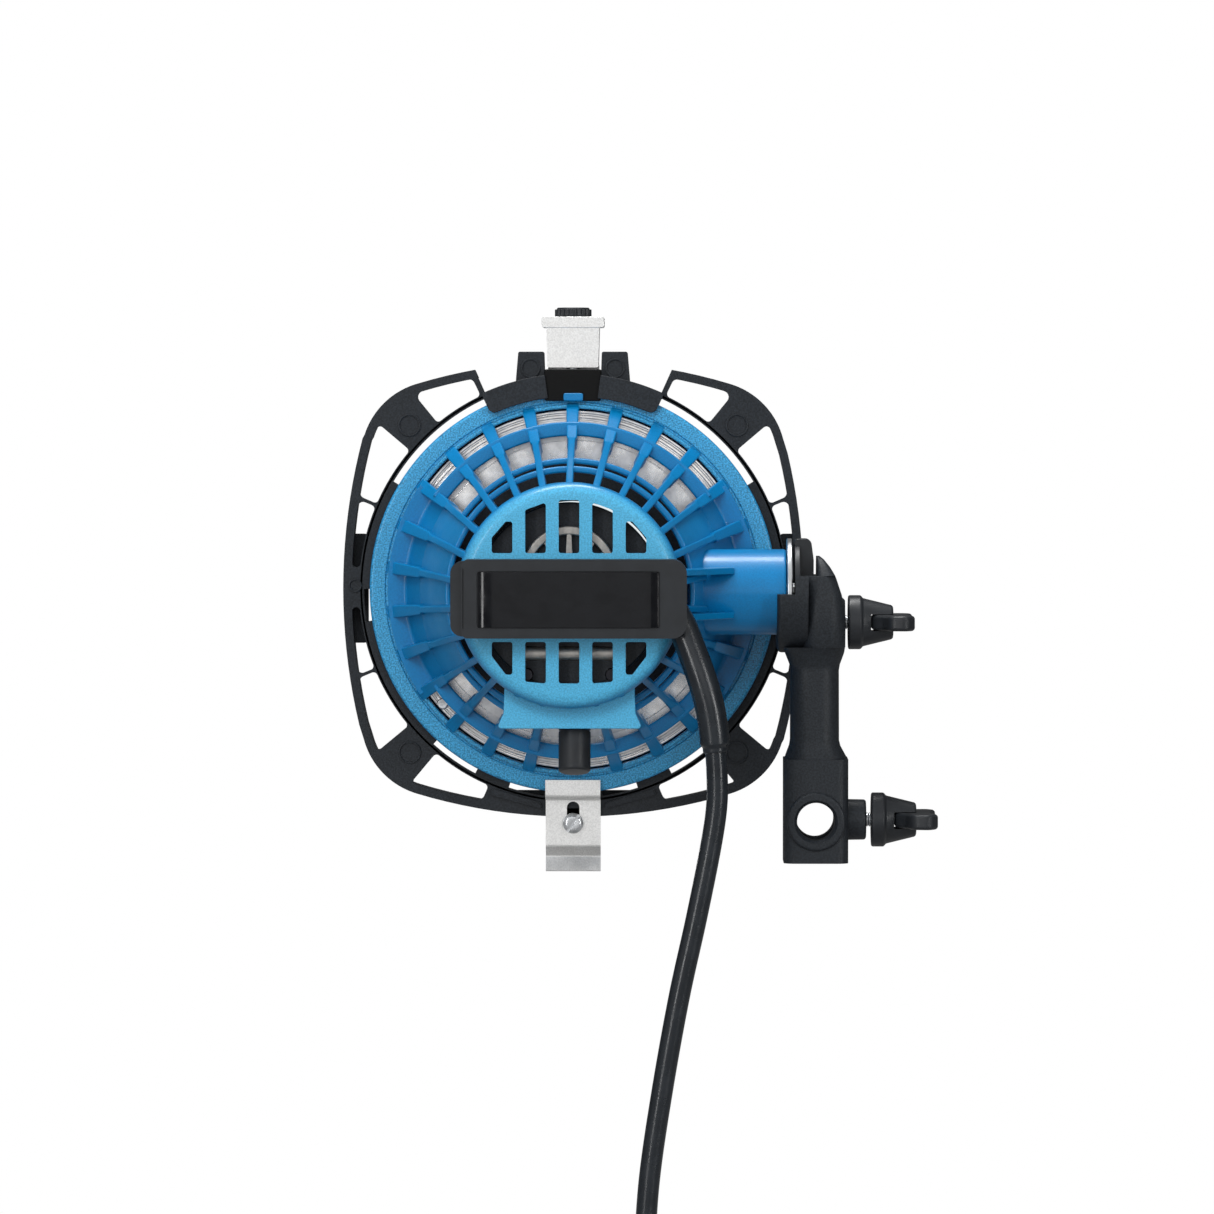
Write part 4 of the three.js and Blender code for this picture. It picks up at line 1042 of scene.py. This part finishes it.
def build_frame():
    """The black front frame: webs and rim, lens disc, latch seat and brow."""
    body = [frame_web_plate(), frame_rim(), *clip_web(), *accessory_lips()]
    half_brow = [ear(), *brow_half()]
    brow = [half_brow[0], mirrored(half_brow[0]), *half_brow[1:], *[mirrored(part) for part in half_brow[1:]]]
    add_piece("frame_body", body, BLACK, "head", ["front_frame"], bevel=0.7)
    add_piece("frame_lens_disc", [inner_disc()], BLACK, "head", cuts=daylight_cutters(), bevel=0.25)
    # The latch seat's darker black is painted shade.
    add_piece("frame_latch_seat", latch_seat(), SMOOTH_BLACK_PAINTED_SHADE, "head", bevel=0.5)
    add_piece("frame_brow", brow, BLACK, "head", bevel=0.5)
    add_piece("frame_casting_marks", ejector_marks(), BLACK, "head", bevel=0)


# ---- Lens, lamp and carriage --------------------------------------------------------------------


def fresnel_profile():
    """Stepped rings that rise towards the middle, over a flat rear face."""
    rear, front = span_mm("lens", 1, HEAD)
    edge, radius = rear + 4, LENS_RADIUS - 2
    profile = [(0, rear), (LENS_RADIUS, rear), (LENS_RADIUS, edge), (radius, edge)]
    core = radius * 0.3
    for i in range(FRESNEL_RINGS, 0, -1):
        outer = core + (radius - core) * i / FRESNEL_RINGS
        inner = core + (radius - core) * (i - 1) / FRESNEL_RINGS
        profile += [(outer, edge), (inner + 0.15, edge + 1.1)]
    dome = [(core * math.cos(t), edge + (front - edge) * math.sin(t)) for t in (0.35, 0.7, 1.05, 1.4)]
    return [*profile, *dome, (0, front)]


def build_lens():
    """The pressed lens and the wire ring that holds it."""
    glass = revolve(fresnel_profile(), steps=160)
    add_piece("lens_glass_disc", [glass], LENS_GLASS, "head", ["lens"], bevel=0)
    low, high = span_mm("lens_ring", 1, HEAD)
    ring = revolve(rectangle(LENS_RADIUS - 1.4, LENS_RADIUS + 0.2, low, high, 0.7, 4), steps=160)
    add_piece("lens_retainer", [ring], BLACK, "head", ["lens_ring"], bevel=0)


def shield_profile():
    """The rolled sheet: a raised band, and two joint grooves near its outer edge."""
    rear, front = span_mm("heat_shield", 1, HEAD)
    rear_side = [
        (SHIELD_ZONE, -0.6, 0.2), (65, -0.6, 0.2), (65.2, 0, 0.2), (72.6, 0, 0.2), (72.8, -0.6, 0.2),
        (74, -0.6, 0.2), (74.1, 0.6, 0.1), (74.9, 0.6, 0.1), (75, -0.9, 0.2), (76.2, -0.7, 0.2),
        (76.3, 0.6, 0.1), (76.9, 0.6, 0.1), (77, -0.6, 0.2), (78.2, -0.6, 0.3),
    ]
    corners = [(radius, rear + step, corner) for radius, step, corner in rear_side]
    return rounded([*corners, (78.2, front + 1, 0.3), (SHIELD_ZONE, front + 1, 0.3)], 2)


def build_shield_nut(side, x):
    """One slotted screw head on the shield."""
    head, end = span_mm(f"shield_screw_{side}", 1, HEAD)
    seat, z = head + 2.1, SHIELD_SCREW["z"]
    corners = [
        (0, head + 0.2, 0), (2.4, head, 0.5), (2.6, seat, 0.2), (1.4, seat, 0), (1.4, end, 0.3), (0, end, 0),
    ]
    slot = box_shape((x - 4, x + 4), (head - 1, head + 0.8), (z - 0.4, z + 0.4))
    nut = revolve(rounded(corners), centre=(x, z), steps=36)
    add_piece(f"shield_nut_{side}", [nut], STEEL, "head", [f"shield_screw_{side}"], cuts=[slot], bevel=0.1)


def build_shield():
    """The silver sheet behind the ribs, its blackened inner zone, and its two nuts."""
    rear, front = span_mm("heat_shield", 1, HEAD)
    x, z = SHIELD_SCREW["x"], SHIELD_SCREW["z"]
    holes = [cylinder(1.9, 30, 50, centre=(side, z), steps=20) for side in (-x, x)]
    sheet = revolve(shield_profile(), steps=160)
    baffle = revolve(rectangle(41.2, SHIELD_ZONE, rear - 0.4, front, 0.3, 2), steps=160)
    add_piece("shield_sheet", [sheet], SHIELD, "head", ["heat_shield"], cuts=holes, bevel=0)
    add_piece("shield_baffle", [baffle], BLACK, "head", ["heat_shield"], cuts=holes, bevel=0)
    build_shield_nut("left", -x)
    build_shield_nut("right", x)


def heat_sink():
    """A cast ring on tapered spokes round a hollow core."""
    rear, front = span_mm("socket_heat_sink", 1, HEAD)
    centre, spokes = (0, SINK["z"]), SINK["spokes"]
    shapes = [
        revolve(rectangle(SINK["inner"], SINK["outer"], rear, front, 0.8, 3), centre=centre, steps=72),
        revolve(rectangle(SINK["bore"], SINK["core"], rear, front, 0.8, 3), centre=centre, steps=48),
    ]
    outline = rounded(evenly([(5, -1.6), (17.4, -1.0), (17.4, 1.0), (5, 1.6)], 0.3), 2)
    spoke = prism(outline, rear + 0.3, front - 0.1)
    for i in range(spokes):
        turn = Matrix.Rotation(2 * math.pi * (i + 0.5) / spokes, 4, "Y")
        shapes.append(moved(spoke, Matrix.Translation((0, 0, SINK["z"])) @ turn))
    return shapes


def build_carriage():
    """What shows of the focus carriage through the vents."""
    add_piece("heat_sink_casting", heat_sink(), CAST, "focus_carriage", ["socket_heat_sink"], bevel=0.25)
    rear, front = span_mm("lamp_carriage", 1, HEAD)
    near, far, radius = rear + 2.2, rear + 4.6, CARRIAGE_RADIUS
    disc = rounded([(0, near, 0), (30, near, 1), (radius, near, 0.8), (radius, far, 0.5), (0, far, 0)])
    foot = box_shape((-21.9, 21.9), (rear + 2.4, front), (-37.8, -28), 1.6)
    rods = [
        cylinder(GUIDE["clearance_radius"], rear - 4, front + 4, centre=(x, GUIDE["z"]), steps=32)
        for x in (-GUIDE["x"], GUIDE["x"])
    ]
    stem = cylinder(2.6, -46, -34, "Z", KNOB["place"][:2], steps=32)
    casting = [revolve(disc, steps=120), foot]
    add_piece("carriage_casting", casting, BLACK, "focus_carriage", ["lamp_carriage"], cuts=[*rods, stem])
    clamp = rounded([(0, -24, 0), (3.3, -24, 0.8), (3.3, 24, 0.8), (0, 24, 0)])
    bar = revolve(clamp, "X", (rear + 3.3, -24.5), steps=40)
    add_piece("carriage_clamp_bar", [bar], CAST, "focus_carriage", bevel=0)


def focus_knob():
    """The long cylindrical knob, with a rounded end and a shallow waist near its top."""
    length, radius, waist = KNOB["length"], KNOB["radius"], KNOB["radius"] - 0.4
    corners = [
        (0, -length, 0), (radius, -length, 1.3), (radius, -4.2, 0.3), (waist, -3.9, 0.2), (waist, -3.3, 0.2),
        (radius, -3, 0.3), (radius, 0, 0.8), (4.2, 0, 0.3), (4.2, -5, 0), (0, -5, 0),
    ]
    place = Matrix.Translation(KNOB["place"]) @ Matrix.Rotation(-math.radians(KNOB["tilt"]), 4, "X")
    return moved(revolve(rounded(corners), "Z", steps=72), place)


# ---- Top latch and bottom clip ------------------------------------------------------------------


def bent_strip(points, thickness):
    """Closed outline of a bent sheet of even thickness, from its middle line."""
    left, right = [], []
    for i, point in enumerate(points):
        here = Vector(point)
        before = (here - Vector(points[i - 1])).normalized() if i else None
        after = (Vector(points[i + 1]) - here).normalized() if i < len(points) - 1 else None
        first, second = before or after, after or before
        middle = (first + second).normalized()
        normal = Vector((-middle.y, middle.x)) * (thickness / 2 / max(0.5, middle.dot(first)))
        left.append(tuple(here + normal))
        right.append(tuple(here - normal))
    return left + right[::-1]


def bend_line(corners):
    """Middle line of a sheet whose bends (x, y, radius) are rounded; its ends stay sharp."""
    first, last = corners[0], corners[-1]
    return rounded([(*first[:2], 0), *corners[1:-1], (*last[:2], 0)])


def build_latch():
    """The silver latch box, its lid with down-turned edges, and the knurled knob."""
    build_latch_box()
    (x0, x1), (y0, y1) = span_mm("latch_bracket", 0, HEAD), span_mm("latch_bracket", 1, HEAD)
    box_top = span_mm("latch_bracket", 2, HEAD)[1]
    skirt = span_mm("latch_cap", 2, HEAD)[0]
    low, high = span_mm("latch_knob", 2, HEAD)
    lid = box_shape(span_mm("latch_cap", 0, HEAD), (y0 - 0.8, y1 + 0.4), (skirt, low + 0.1), 0.9)
    inside = box_shape((x0 - 0.1, x1 + 0.1), (y0 - 0.1, y1 + 0.1), (skirt - 1, box_top + 0.1))
    add_piece("latch_cap_sheet", [lid], SHEET, "top_latch", ["latch_cap"], cuts=[inside], bevel=0.45)
    add_piece("latch_knob_grip", knurled_knob(low, high), PLASTIC, "top_latch", ["latch_knob"], bevel=0.15)


def build_latch_box():
    """The tapered latch box with its tongue; the spring passes through a hole in its floor."""
    x0, x1 = span_mm("latch_bracket", 0, HEAD)
    y0, y1 = span_mm("latch_bracket", 1, HEAD)
    z0, z1 = span_mm("latch_bracket", 2, HEAD)
    base, wall, taper = LATCH["base"], LATCH["wall"], LATCH["taper"]
    outline = rounded(evenly([(x0 + taper, base), (x1 - taper, base), (x1, z1), (x0, z1)], 0.6), 3)
    tongue = box_shape((x0 + 0.3, x1 - 0.3), (y1 - wall, y1), (z0, base + 2), 1.2)
    inset = wall + 0.6
    hollow = box_shape((x0 + inset, x1 - inset), (y0 + wall, y1 - wall), (base + wall, z1 - wall))
    access = box_shape((x0 + 3, x1 - 3), (y1 - 3, y1 + 1), (104, 112), 1.5)
    spring = span_mm("latch_spring", 0, HEAD)
    eye_radius = (spring[1] - spring[0]) / 2 + 0.5
    eye = cylinder(eye_radius, base - 1, base + 2, "Z", (0, LATCH["y"]), steps=48)
    body, cuts = [prism(outline, y0, y1), tongue], [hollow, access, eye]
    add_piece("latch_box", body, SHEET, "top_latch", ["latch_bracket"], cuts=cuts, bevel=0.35)


def knurled_knob(low, high, steps=176):
    """A round knob with a lobed grip between two plain lands."""
    lobes = []
    for i in range(steps):
        angle = 2 * math.pi * i / steps
        radius = LATCH_KNOB["radius"] + LATCH_KNOB["ridge"] * math.cos(LATCH_KNOB["ridges"] * angle)
        lobes.append((radius * math.cos(angle), LATCH["y"] + radius * math.sin(angle)))
    corners = [
        (0, low, 0), (6.8, low, 0.4), (7.3, low + 1.1, 0.2), (7.3, high - 0.9, 0.2), (6.9, high, 0.6),
        (3.6, high, 0.3), (3.2, high - 0.5, 0.3), (0, high - 0.5, 0),
    ]
    core = revolve(rounded(corners), "Z", (0, LATCH["y"]), steps=88)
    return [prism(lobes, low + 0.3, high - 0.8, axis="Z"), core]


def build_clip():
    """The bent clip under the lamp, with its keyhole, and its slotted screw."""
    (x0, x1), rear = span_mm("bottom_clip", 0, HEAD), span_mm("bottom_clip", 1, HEAD)[0]
    low, high = span_mm("bottom_clip", 2, HEAD)
    wall, shelf = CLIP["wall"], CLIP["shelf"]
    face, hook = CLIP["face"] + wall / 2, rear + wall / 2
    bends = [
        (hook, high, 0), (hook, shelf, 1.6), (face, shelf, 1.6), (face, CLIP["bend"], 1.6),
        (face + 3.6, CLIP["heel"], 1.2), (face + 1.4, low + 0.5, 0),
    ]
    body = prism(bent_strip(bend_line(bends), wall), x0, x1, axis="X")
    slot = prism(rectangle(-2.75, 2.75, -107, -93, 2.7, 8), 40, 50)
    recess = prism(rectangle(-4.95, 4.95, -108.6, -97.4, 4.9, 8), CLIP["face"] - 0.5, CLIP["face"] + 0.45)
    add_piece("clip_sheet", [body], SHEET, "bottom_clip", ["bottom_clip"], cuts=[slot, recess], bevel=0.3)
    build_clip_screw()


def build_clip_screw():
    """The slotted pan-head screw."""
    head, end = span_mm("clip_screw", 1, HEAD)
    seat = head + 2.3
    corners = [
        (0, head, 0), (3.0, head + 0.05, 1.5), (4.5, head + 1.0, 0.8), (4.5, seat, 0.2), (2.4, seat, 0.1),
        (2.4, end, 0.4), (0, end, 0),
    ]
    pan = revolve(rounded(corners), centre=(0, CLIP_SCREW["z"]), steps=56)
    turn = Matrix.Rotation(-math.radians(CLIP_SCREW["turn"]), 4, "Y")
    place = Matrix.Translation((0, 0, CLIP_SCREW["z"])) @ turn
    slot = moved(box_shape((-6, 6), (head - 1, head + 1.5), (-0.6, 0.6)), place)
    add_piece("clip_screw_pan", [pan], STEEL, "clip_screw", ["clip_screw"], cuts=[slot], bevel=0.12)


# ---- Side arm -----------------------------------------------------------------------------------


def arm_section(z, left, right, half_depth):
    """A level cut through the arm: a rectangle with amply rounded corners."""
    corner = 0.8 * min((right - left) / 2, half_depth)
    return [(x, y, z) for x, y in rectangle(left, right, -half_depth, half_depth, corner, 7)]


def arm_blade():
    """The waist of the arm, which swells to the block below and to the domed head above."""
    face = ARM_FACE
    stations = [
        (-8, -13.4, 13.6, 15), (7.4, -13.4, 13.6, 15), (9.4, -13, 13.2, 14.6), (14, -11.3, 10.7, 13.2),
        (16.5, -10.9, 10.1, 13), (46.5, -10.8, 10, 13), (49, -11.2, 10.4, 13.6), (54, -13.2, 12.2, 16),
        (56.5, -14.4, 12.6, 18), (56.6, face, 12.6, 18), (64, face, 12.6, 20.5), (72, face, 12.1, 21),
        (79, face, 11, 20.5), (86, face, 8.7, 18.5), (87.2, face, 8.2, 18), (87.3, 0.4, 8.2, 18),
        (91, 0.4, 6, 15.5), (94, 0.4, 3.6, 12.5), (95.4, 0.4, 1.8, 10),
    ]
    return loft([arm_section(*station) for station in stations])


def receiver_block():
    """The block round the spigot socket, its upright edges rounded."""
    return prism(rectangle(-13.8, 13.9, -17, 17, 5, 6), -36, 8.5, axis="Z")


def brake_cup():
    """The cup round the brake: its lower half, and a lip that rises behind the shoe."""
    inner, outer, room = CUP["inner"], CUP["outer"], CUP["room"]
    left, right, floor = CUP["left"], CUP["right"], CUP["floor"]
    half = rounded([(inner, left, 0.4), (outer, left, 2.2), (outer, right, 0.8), (inner, right, 0.4)])
    lip = [(inner, floor), (room, floor), (room, -9), (outer, -9), (outer, right), (inner, right)]
    return [
        revolve(half, "X", (0, PIVOT_Z), start=181, end=359, steps=60),
        revolve(lip, "X", (0, PIVOT_Z), start=163, end=183, steps=10),
    ]


def arm_bosses():
    """Screw bosses for both handles and the collar ring round the level receiver."""
    tilt = rounded([(0, 0, 0), (12.5, 0, 0), (12.5, 11.6, 1.6), (11.4, 12.6, 1), (0, 12.6, 0)])
    lock = rounded([(0, 8, 0), (8.9, 8, 0), (8.65, 21.8, 1.2), (0, 21.8, 0)])
    collar = rounded([(6, -18.6, 1), (12.6, -18.6, 1.4), (12.6, 18.6, 1.4), (6, 18.6, 1)])
    return [
        revolve(tilt, "X", (0, TILT_Z), steps=72),
        revolve(lock, "X", (0, LOCK_Z), steps=72),
        revolve(collar, "Y", (0, LOCK_Z), steps=96),
    ]


def arm_cutters():
    """Everything hollow in the arm: brake room, sockets, bolt and screw holes."""
    pivot, lock, bore = (0, PIVOT_Z), (0, LOCK_Z), SOCKET_RADIUS
    upright = [(0, -38), (8.9, -38), (8.9, -36), (bore, -35), (bore, 0), (0, 0)]
    half_level = [(0, 20), (9.3, 20), (9.3, 18), (bore, 16.4)]
    level = [(radius, -y) for radius, y in half_level] + half_level[::-1]
    bolt = [(0, -10), (4.3, -10), (4.3, 2), (7.0, 2), (7.0, 20), (0, 20)]
    return [
        cylinder(CUP["room"], -12.7, CUP["floor"], "X", pivot, steps=96),
        cylinder(19.2, -40, -12, "X", pivot, steps=96),
        revolve(upright, "Z", steps=72),
        revolve(level, "Y", lock, steps=72),
        revolve(bolt, "X", pivot, steps=48),
        cylinder(SCREW_HOLE, -10, 20, "X", (0, TILT_Z)),
        cylinder(SCREW_HOLE, 0, 30, "X", lock),
    ]


def build_arm():
    """The cast arm in one piece."""
    solids = [arm_blade(), receiver_block(), *brake_cup(), *arm_bosses()]
    add_piece("arm_casting", solids, BLACK, "arm", ["side_arm"], origin=ARM, cuts=arm_cutters(), bevel=0.9)


def build_clamp_shoe():
    """The shoe that presses on the brake disc, and its ear, which shows above the arm."""
    x0, x1 = span_mm("clamp_shoe", 0, ARM)
    face, bore, radius = x0 + SHOE["thickness"], SHOE["bore"], SHOE["radius"]
    pad = rounded([(bore, x0, 0.2), (radius, x0, 0.4), (radius, face, 0.4), (bore, face, 0.2)])
    outline = [(x0, 86.6, 0.4), (x1, 86.6, 0.4), (x1, 94, 3), (x1 - 1.2, 103, 2.6), (x0, 103, 1.6)]
    shapes = [revolve(pad, "X", (0, PIVOT_Z), steps=90), prism(rounded(outline, 8), -8, 8)]
    add_piece("shoe_moulding", shapes, PLASTIC, "tilt_clamp", ["clamp_shoe"], origin=ARM, bevel=0.5)


def build_brake_disc():
    """The steel disc on the end of the boss, its edge turned."""
    x0, x1 = span_mm("brake_disc", 0, HEAD)
    bore, radius, circle = DISC["bore"], DISC["radius"], DISC["screw_circle"]
    profile = rounded([(bore, x0, 0.1), (radius, x0, 0.5), (radius, x1, 0.5), (bore, x1, 0.1)])
    turns = [math.radians(angle) for angle in DISC["screws"]]
    places = [(circle * math.cos(turn), circle * math.sin(turn)) for turn in turns]
    holes = [cylinder(DISC["screw_hole"], x0 - 9, x1 + 1, "X", place, steps=24) for place in places]
    disc = revolve(profile, "X", steps=128)
    add_piece("brake_disc_turned", [disc], STEEL, "head", ["brake_disc"], cuts=holes, bevel=0)


# ---- T-handles ----------------------------------------------------------------------------------


def handle_hub(start, height):
    """Collar and cone of a T-handle."""
    end, collar = start + HANDLE["length"], HANDLE["collar"]
    corners = [
        (SCREW_HOLE, start, 0.2), (collar, start, 0.8), (collar, start + 5.4, 1.2), (10.4, start + 6.4, 1.2),
        (HANDLE["cone_end"], end, 1.4), (SCREW_HOLE, end, 0.2),
    ]
    return revolve(rounded(corners, 4), "X", (0, height), steps=72)


def handle_wings(start, height):
    """The flat cross bar, waisted at the hub and swelling to two round ends."""
    inner, outer, half_height = start + HANDLE["bar_start"], start + HANDLE["bar_end"], HANDLE["bar_half"]
    half = [
        (inner, -7.4, 2), (outer - 14, -13, 6), (outer - 11.5, -21, 5), (outer - 3.5, -22.6, 4),
        (outer, -17, 4.5), (outer - 2.6, -6, 8),
    ]
    other = [(x, -y, radius) for x, y, radius in half[::-1]]
    return prism(rounded(half + other, 7), height - half_height, height + half_height, axis="Z")


def screw_thread(tip, end, height):
    """A threaded screw as a row of sharp rings, which reads as an M6 thread."""
    radius, root = THREAD["radius"], THREAD["radius"] - THREAD["depth"]
    station = tip + THREAD["point"]
    profile = [(0, tip), (radius - THREAD["point"], tip), (radius, station)]
    while station + THREAD["pitch"] < end:
        profile += [(radius, station + 0.15), (root, station + 0.5), (radius, station + 0.85)]
        station += THREAD["pitch"]
    profile += [(radius, end), (0, end)]
    return revolve(profile, "X", (0, height), steps=36)


def build_handle(name, height):
    """One T-handle: hub, cross bar and screw."""
    start = span_mm(f"{name}_handle_hub", 0, ARM)[0]
    body = f"{name}_handle"
    slot = prism(rectangle(start + 9.7, start + 25, height - 3.6, height + 3.6, 0.3), -30, 30)
    hole = cylinder(SCREW_HOLE, start - 1, start + 9, "X", (0, height), steps=32)
    hub, bar = handle_hub(start, height), handle_wings(start, height)
    screw = screw_thread(*span_mm(f"{name}_screw", 0, ARM), height)
    add_piece(f"{name}_grip_hub", [hub], PLASTIC, body, [f"{name}_handle_hub"], ARM, [slot, hole], bevel=0.35)
    add_piece(f"{name}_grip_bar", [bar], PLASTIC, body, [f"{name}_handle_bar"], ARM, bevel=1.5, segments=5)
    add_piece(f"{name}_screw_thread", [screw], STEEL, body, [f"{name}_screw"], ARM, bevel=0)


# ---- CAD nodes that stay ------------------------------------------------------------------------

KEPT = [
    (STEEL, ["brake_disc_screw_1", "brake_disc_screw_2", "brake_disc_screw_3", "pivot_bolt"]),
    (STEEL, ["focus_stem", "latch_pin", "latch_spring"]),
    (DARK_STEEL, ["guide_rod_left", "guide_rod_right"]),
    (BRASS, ["pivot_bush", "lock_screw_tip"]),
    (CERAMIC, ["terminal_block", "lamp_socket"]),
    (MIRROR, ["reflector"]),
    (LAMP_GLASS, ["halogen_lamp"]),
]


def finish_kept_nodes():
    """Gives each CAD node that still shows its material and softly rounded edges."""
    for (material, _), names in KEPT:
        for name in names:
            finish_node(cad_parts[name], material)


def finish_node(node, material):
    """One CAD node's material, smooth shading and small bevels."""
    node.data.materials.clear()
    node.data.materials.append(material)
    for face in node.data.polygons:
        face.use_smooth = True
        face.material_index = 0
    node.data.set_sharp_from_angle(angle=math.radians(35))
    bevel = node.modifiers.new("soften", "BEVEL")
    bevel.width = 0.25 * MM
    bevel.segments = 2
    bevel.limit_method = "ANGLE"
    bevel.angle_limit = math.radians(40)


# ---- Studio -------------------------------------------------------------------------------------

WORLD_TOWARDS = (-0.2, -0.8, 0.5)
WORLD_FADE = (-0.2, 0.8)
WORLD_LIGHT = (0.1, 0.62)
FLOOR = {"half": 30, "drop": 0.004, "albedo": 0.28}
CAMERA = {"place": (-0.0583, -2.8, 0.157), "target": (-0.0897, 0, 0.0735), "lens": 193}

# Name, place from the middle of the head, size, watts.
LIGHTS = [
    ("top softbox", (-0.1, 0.1, 1.5), (1.2, 0.3), 22),
    ("front softbox", (-0.4, -2.2, 1.3), (1.0, 0.7), 26),
    ("camera card", (0.2, -3.2, 0.3), (1.6, 1.2), 3.5),
    ("left strip", (-1.0, -1.75, 0.1), (0.2, 1.3), 10),
    ("right strip", (1.4, -1.4, 0.1), (0.2, 1.3), 10),
]


def area_light(name, offset, size, power):
    """A soft box aimed at the head."""
    data = bpy.data.lights.new(name, "AREA")
    data.shape = "RECTANGLE"
    data.size, data.size_y = size
    data.energy = power
    light = bpy.data.objects.new(name, data)
    light.location = HEAD + Vector(offset)
    light.rotation_euler = (-Vector(offset)).to_track_quat("-Z", "Y").to_euler()
    bpy.context.scene.collection.objects.link(light)
    return light


def build_world():
    """White behind the lamp; for all other rays, light that fades away from the camera's side."""
    world = bpy.data.worlds.new("studio")
    bpy.context.scene.world = world
    world.use_nodes = True
    nodes, links = world.node_tree.nodes, world.node_tree.links
    background = nodes["Background"]
    background.inputs["Color"].default_value = (1, 1, 1, 1)
    direction = nodes.new("ShaderNodeTexCoord").outputs["Generated"]
    dot = nodes.new("ShaderNodeVectorMath")
    dot.operation = "DOT_PRODUCT"
    dot.inputs[1].default_value = Vector(WORLD_TOWARDS).normalized()
    links.new(direction, dot.inputs[0])
    fade = nodes.new("ShaderNodeMapRange")
    fade.interpolation_type = "SMOOTHSTEP"
    fade.inputs["From Min"].default_value = WORLD_FADE[0]
    fade.inputs["From Max"].default_value = WORLD_FADE[1]
    fade.inputs["To Min"].default_value = WORLD_LIGHT[0]
    fade.inputs["To Max"].default_value = WORLD_LIGHT[1]
    links.new(dot.outputs["Value"], fade.inputs["Value"])
    camera_ray = nodes.new("ShaderNodeLightPath").outputs["Is Camera Ray"]
    strength = nodes.new("ShaderNodeMath")
    strength.operation = "MAXIMUM"
    links.new(camera_ray, strength.inputs[0])
    links.new(fade.outputs["Result"], strength.inputs[1])
    links.new(strength.outputs[0], background.inputs["Strength"])


def build_floor(height):
    """A large grey floor just under the lamp, which the camera sees as evenly white."""
    data = bpy.data.meshes.new("floor")
    half = FLOOR["half"]
    corners = [(x, y, height) for x, y in rectangle(-half, half, -half, half)]
    data.from_pydata(corners, [], [(0, 1, 2, 3)])
    floor = bpy.data.objects.new("floor", data)
    bpy.context.scene.collection.objects.link(floor)
    material = bpy.data.materials.new("floor")
    material.use_nodes = True
    nodes, links = material.node_tree.nodes, material.node_tree.links
    surface = nodes["Principled BSDF"]
    surface.inputs["Base Color"].default_value = (*[FLOOR["albedo"]] * 3, 1)
    surface.inputs["Roughness"].default_value = 0.8
    white = nodes.new("ShaderNodeEmission")
    blend = nodes.new("ShaderNodeMixShader")
    links.new(nodes.new("ShaderNodeLightPath").outputs["Is Camera Ray"], blend.inputs["Fac"])
    links.new(surface.outputs[0], blend.inputs[1])
    links.new(white.outputs[0], blend.inputs[2])
    links.new(blend.outputs[0], nodes["Material Output"].inputs["Surface"])
    data.materials.append(material)
    floor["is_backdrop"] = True


def build_camera():
    """A long lens behind the lamp, a little to its right."""
    data = bpy.data.cameras.new("camera")
    data.lens = CAMERA["lens"]
    data.sensor_width = 36
    data.clip_start, data.clip_end = 0.05, 100
    camera = bpy.data.objects.new("camera", data)
    place, target = Vector(CAMERA["place"]), Vector(CAMERA["target"])
    camera.location = place
    camera.rotation_euler = (target - place).to_track_quat("-Z", "Y").to_euler()
    bpy.context.scene.collection.objects.link(camera)
    bpy.context.scene.camera = camera


def build_studio():
    """Camera, floor and soft lights round the lamp."""
    build_world()
    build_floor(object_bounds()[0].z - FLOOR["drop"])
    build_camera()
    lights = {light[0]: area_light(*light) for light in LIGHTS}
    lights["front softbox"].visible_glossy = False
    lights["camera card"].visible_diffuse = False
    bpy.context.scene.view_settings.view_transform = "Standard"


# ---- Assembly -----------------------------------------------------------------------------------


def build_everything():
    """All pieces, in the order they bolt together."""
    build_housing()
    build_cover()
    build_cable()
    build_frame()
    build_lens()
    build_shield()
    build_carriage()
    add_piece("focus_knob_grip", [focus_knob()], PLASTIC, "focus_knob", ["focus_knob"], bevel=0.2)
    build_latch()
    build_clip()
    build_brake_disc()
    build_arm()
    build_clamp_shoe()
    build_handle("tilt", TILT_Z)
    build_handle("lock", LOCK_Z)
    finish_kept_nodes()


build_everything()
build_studio()
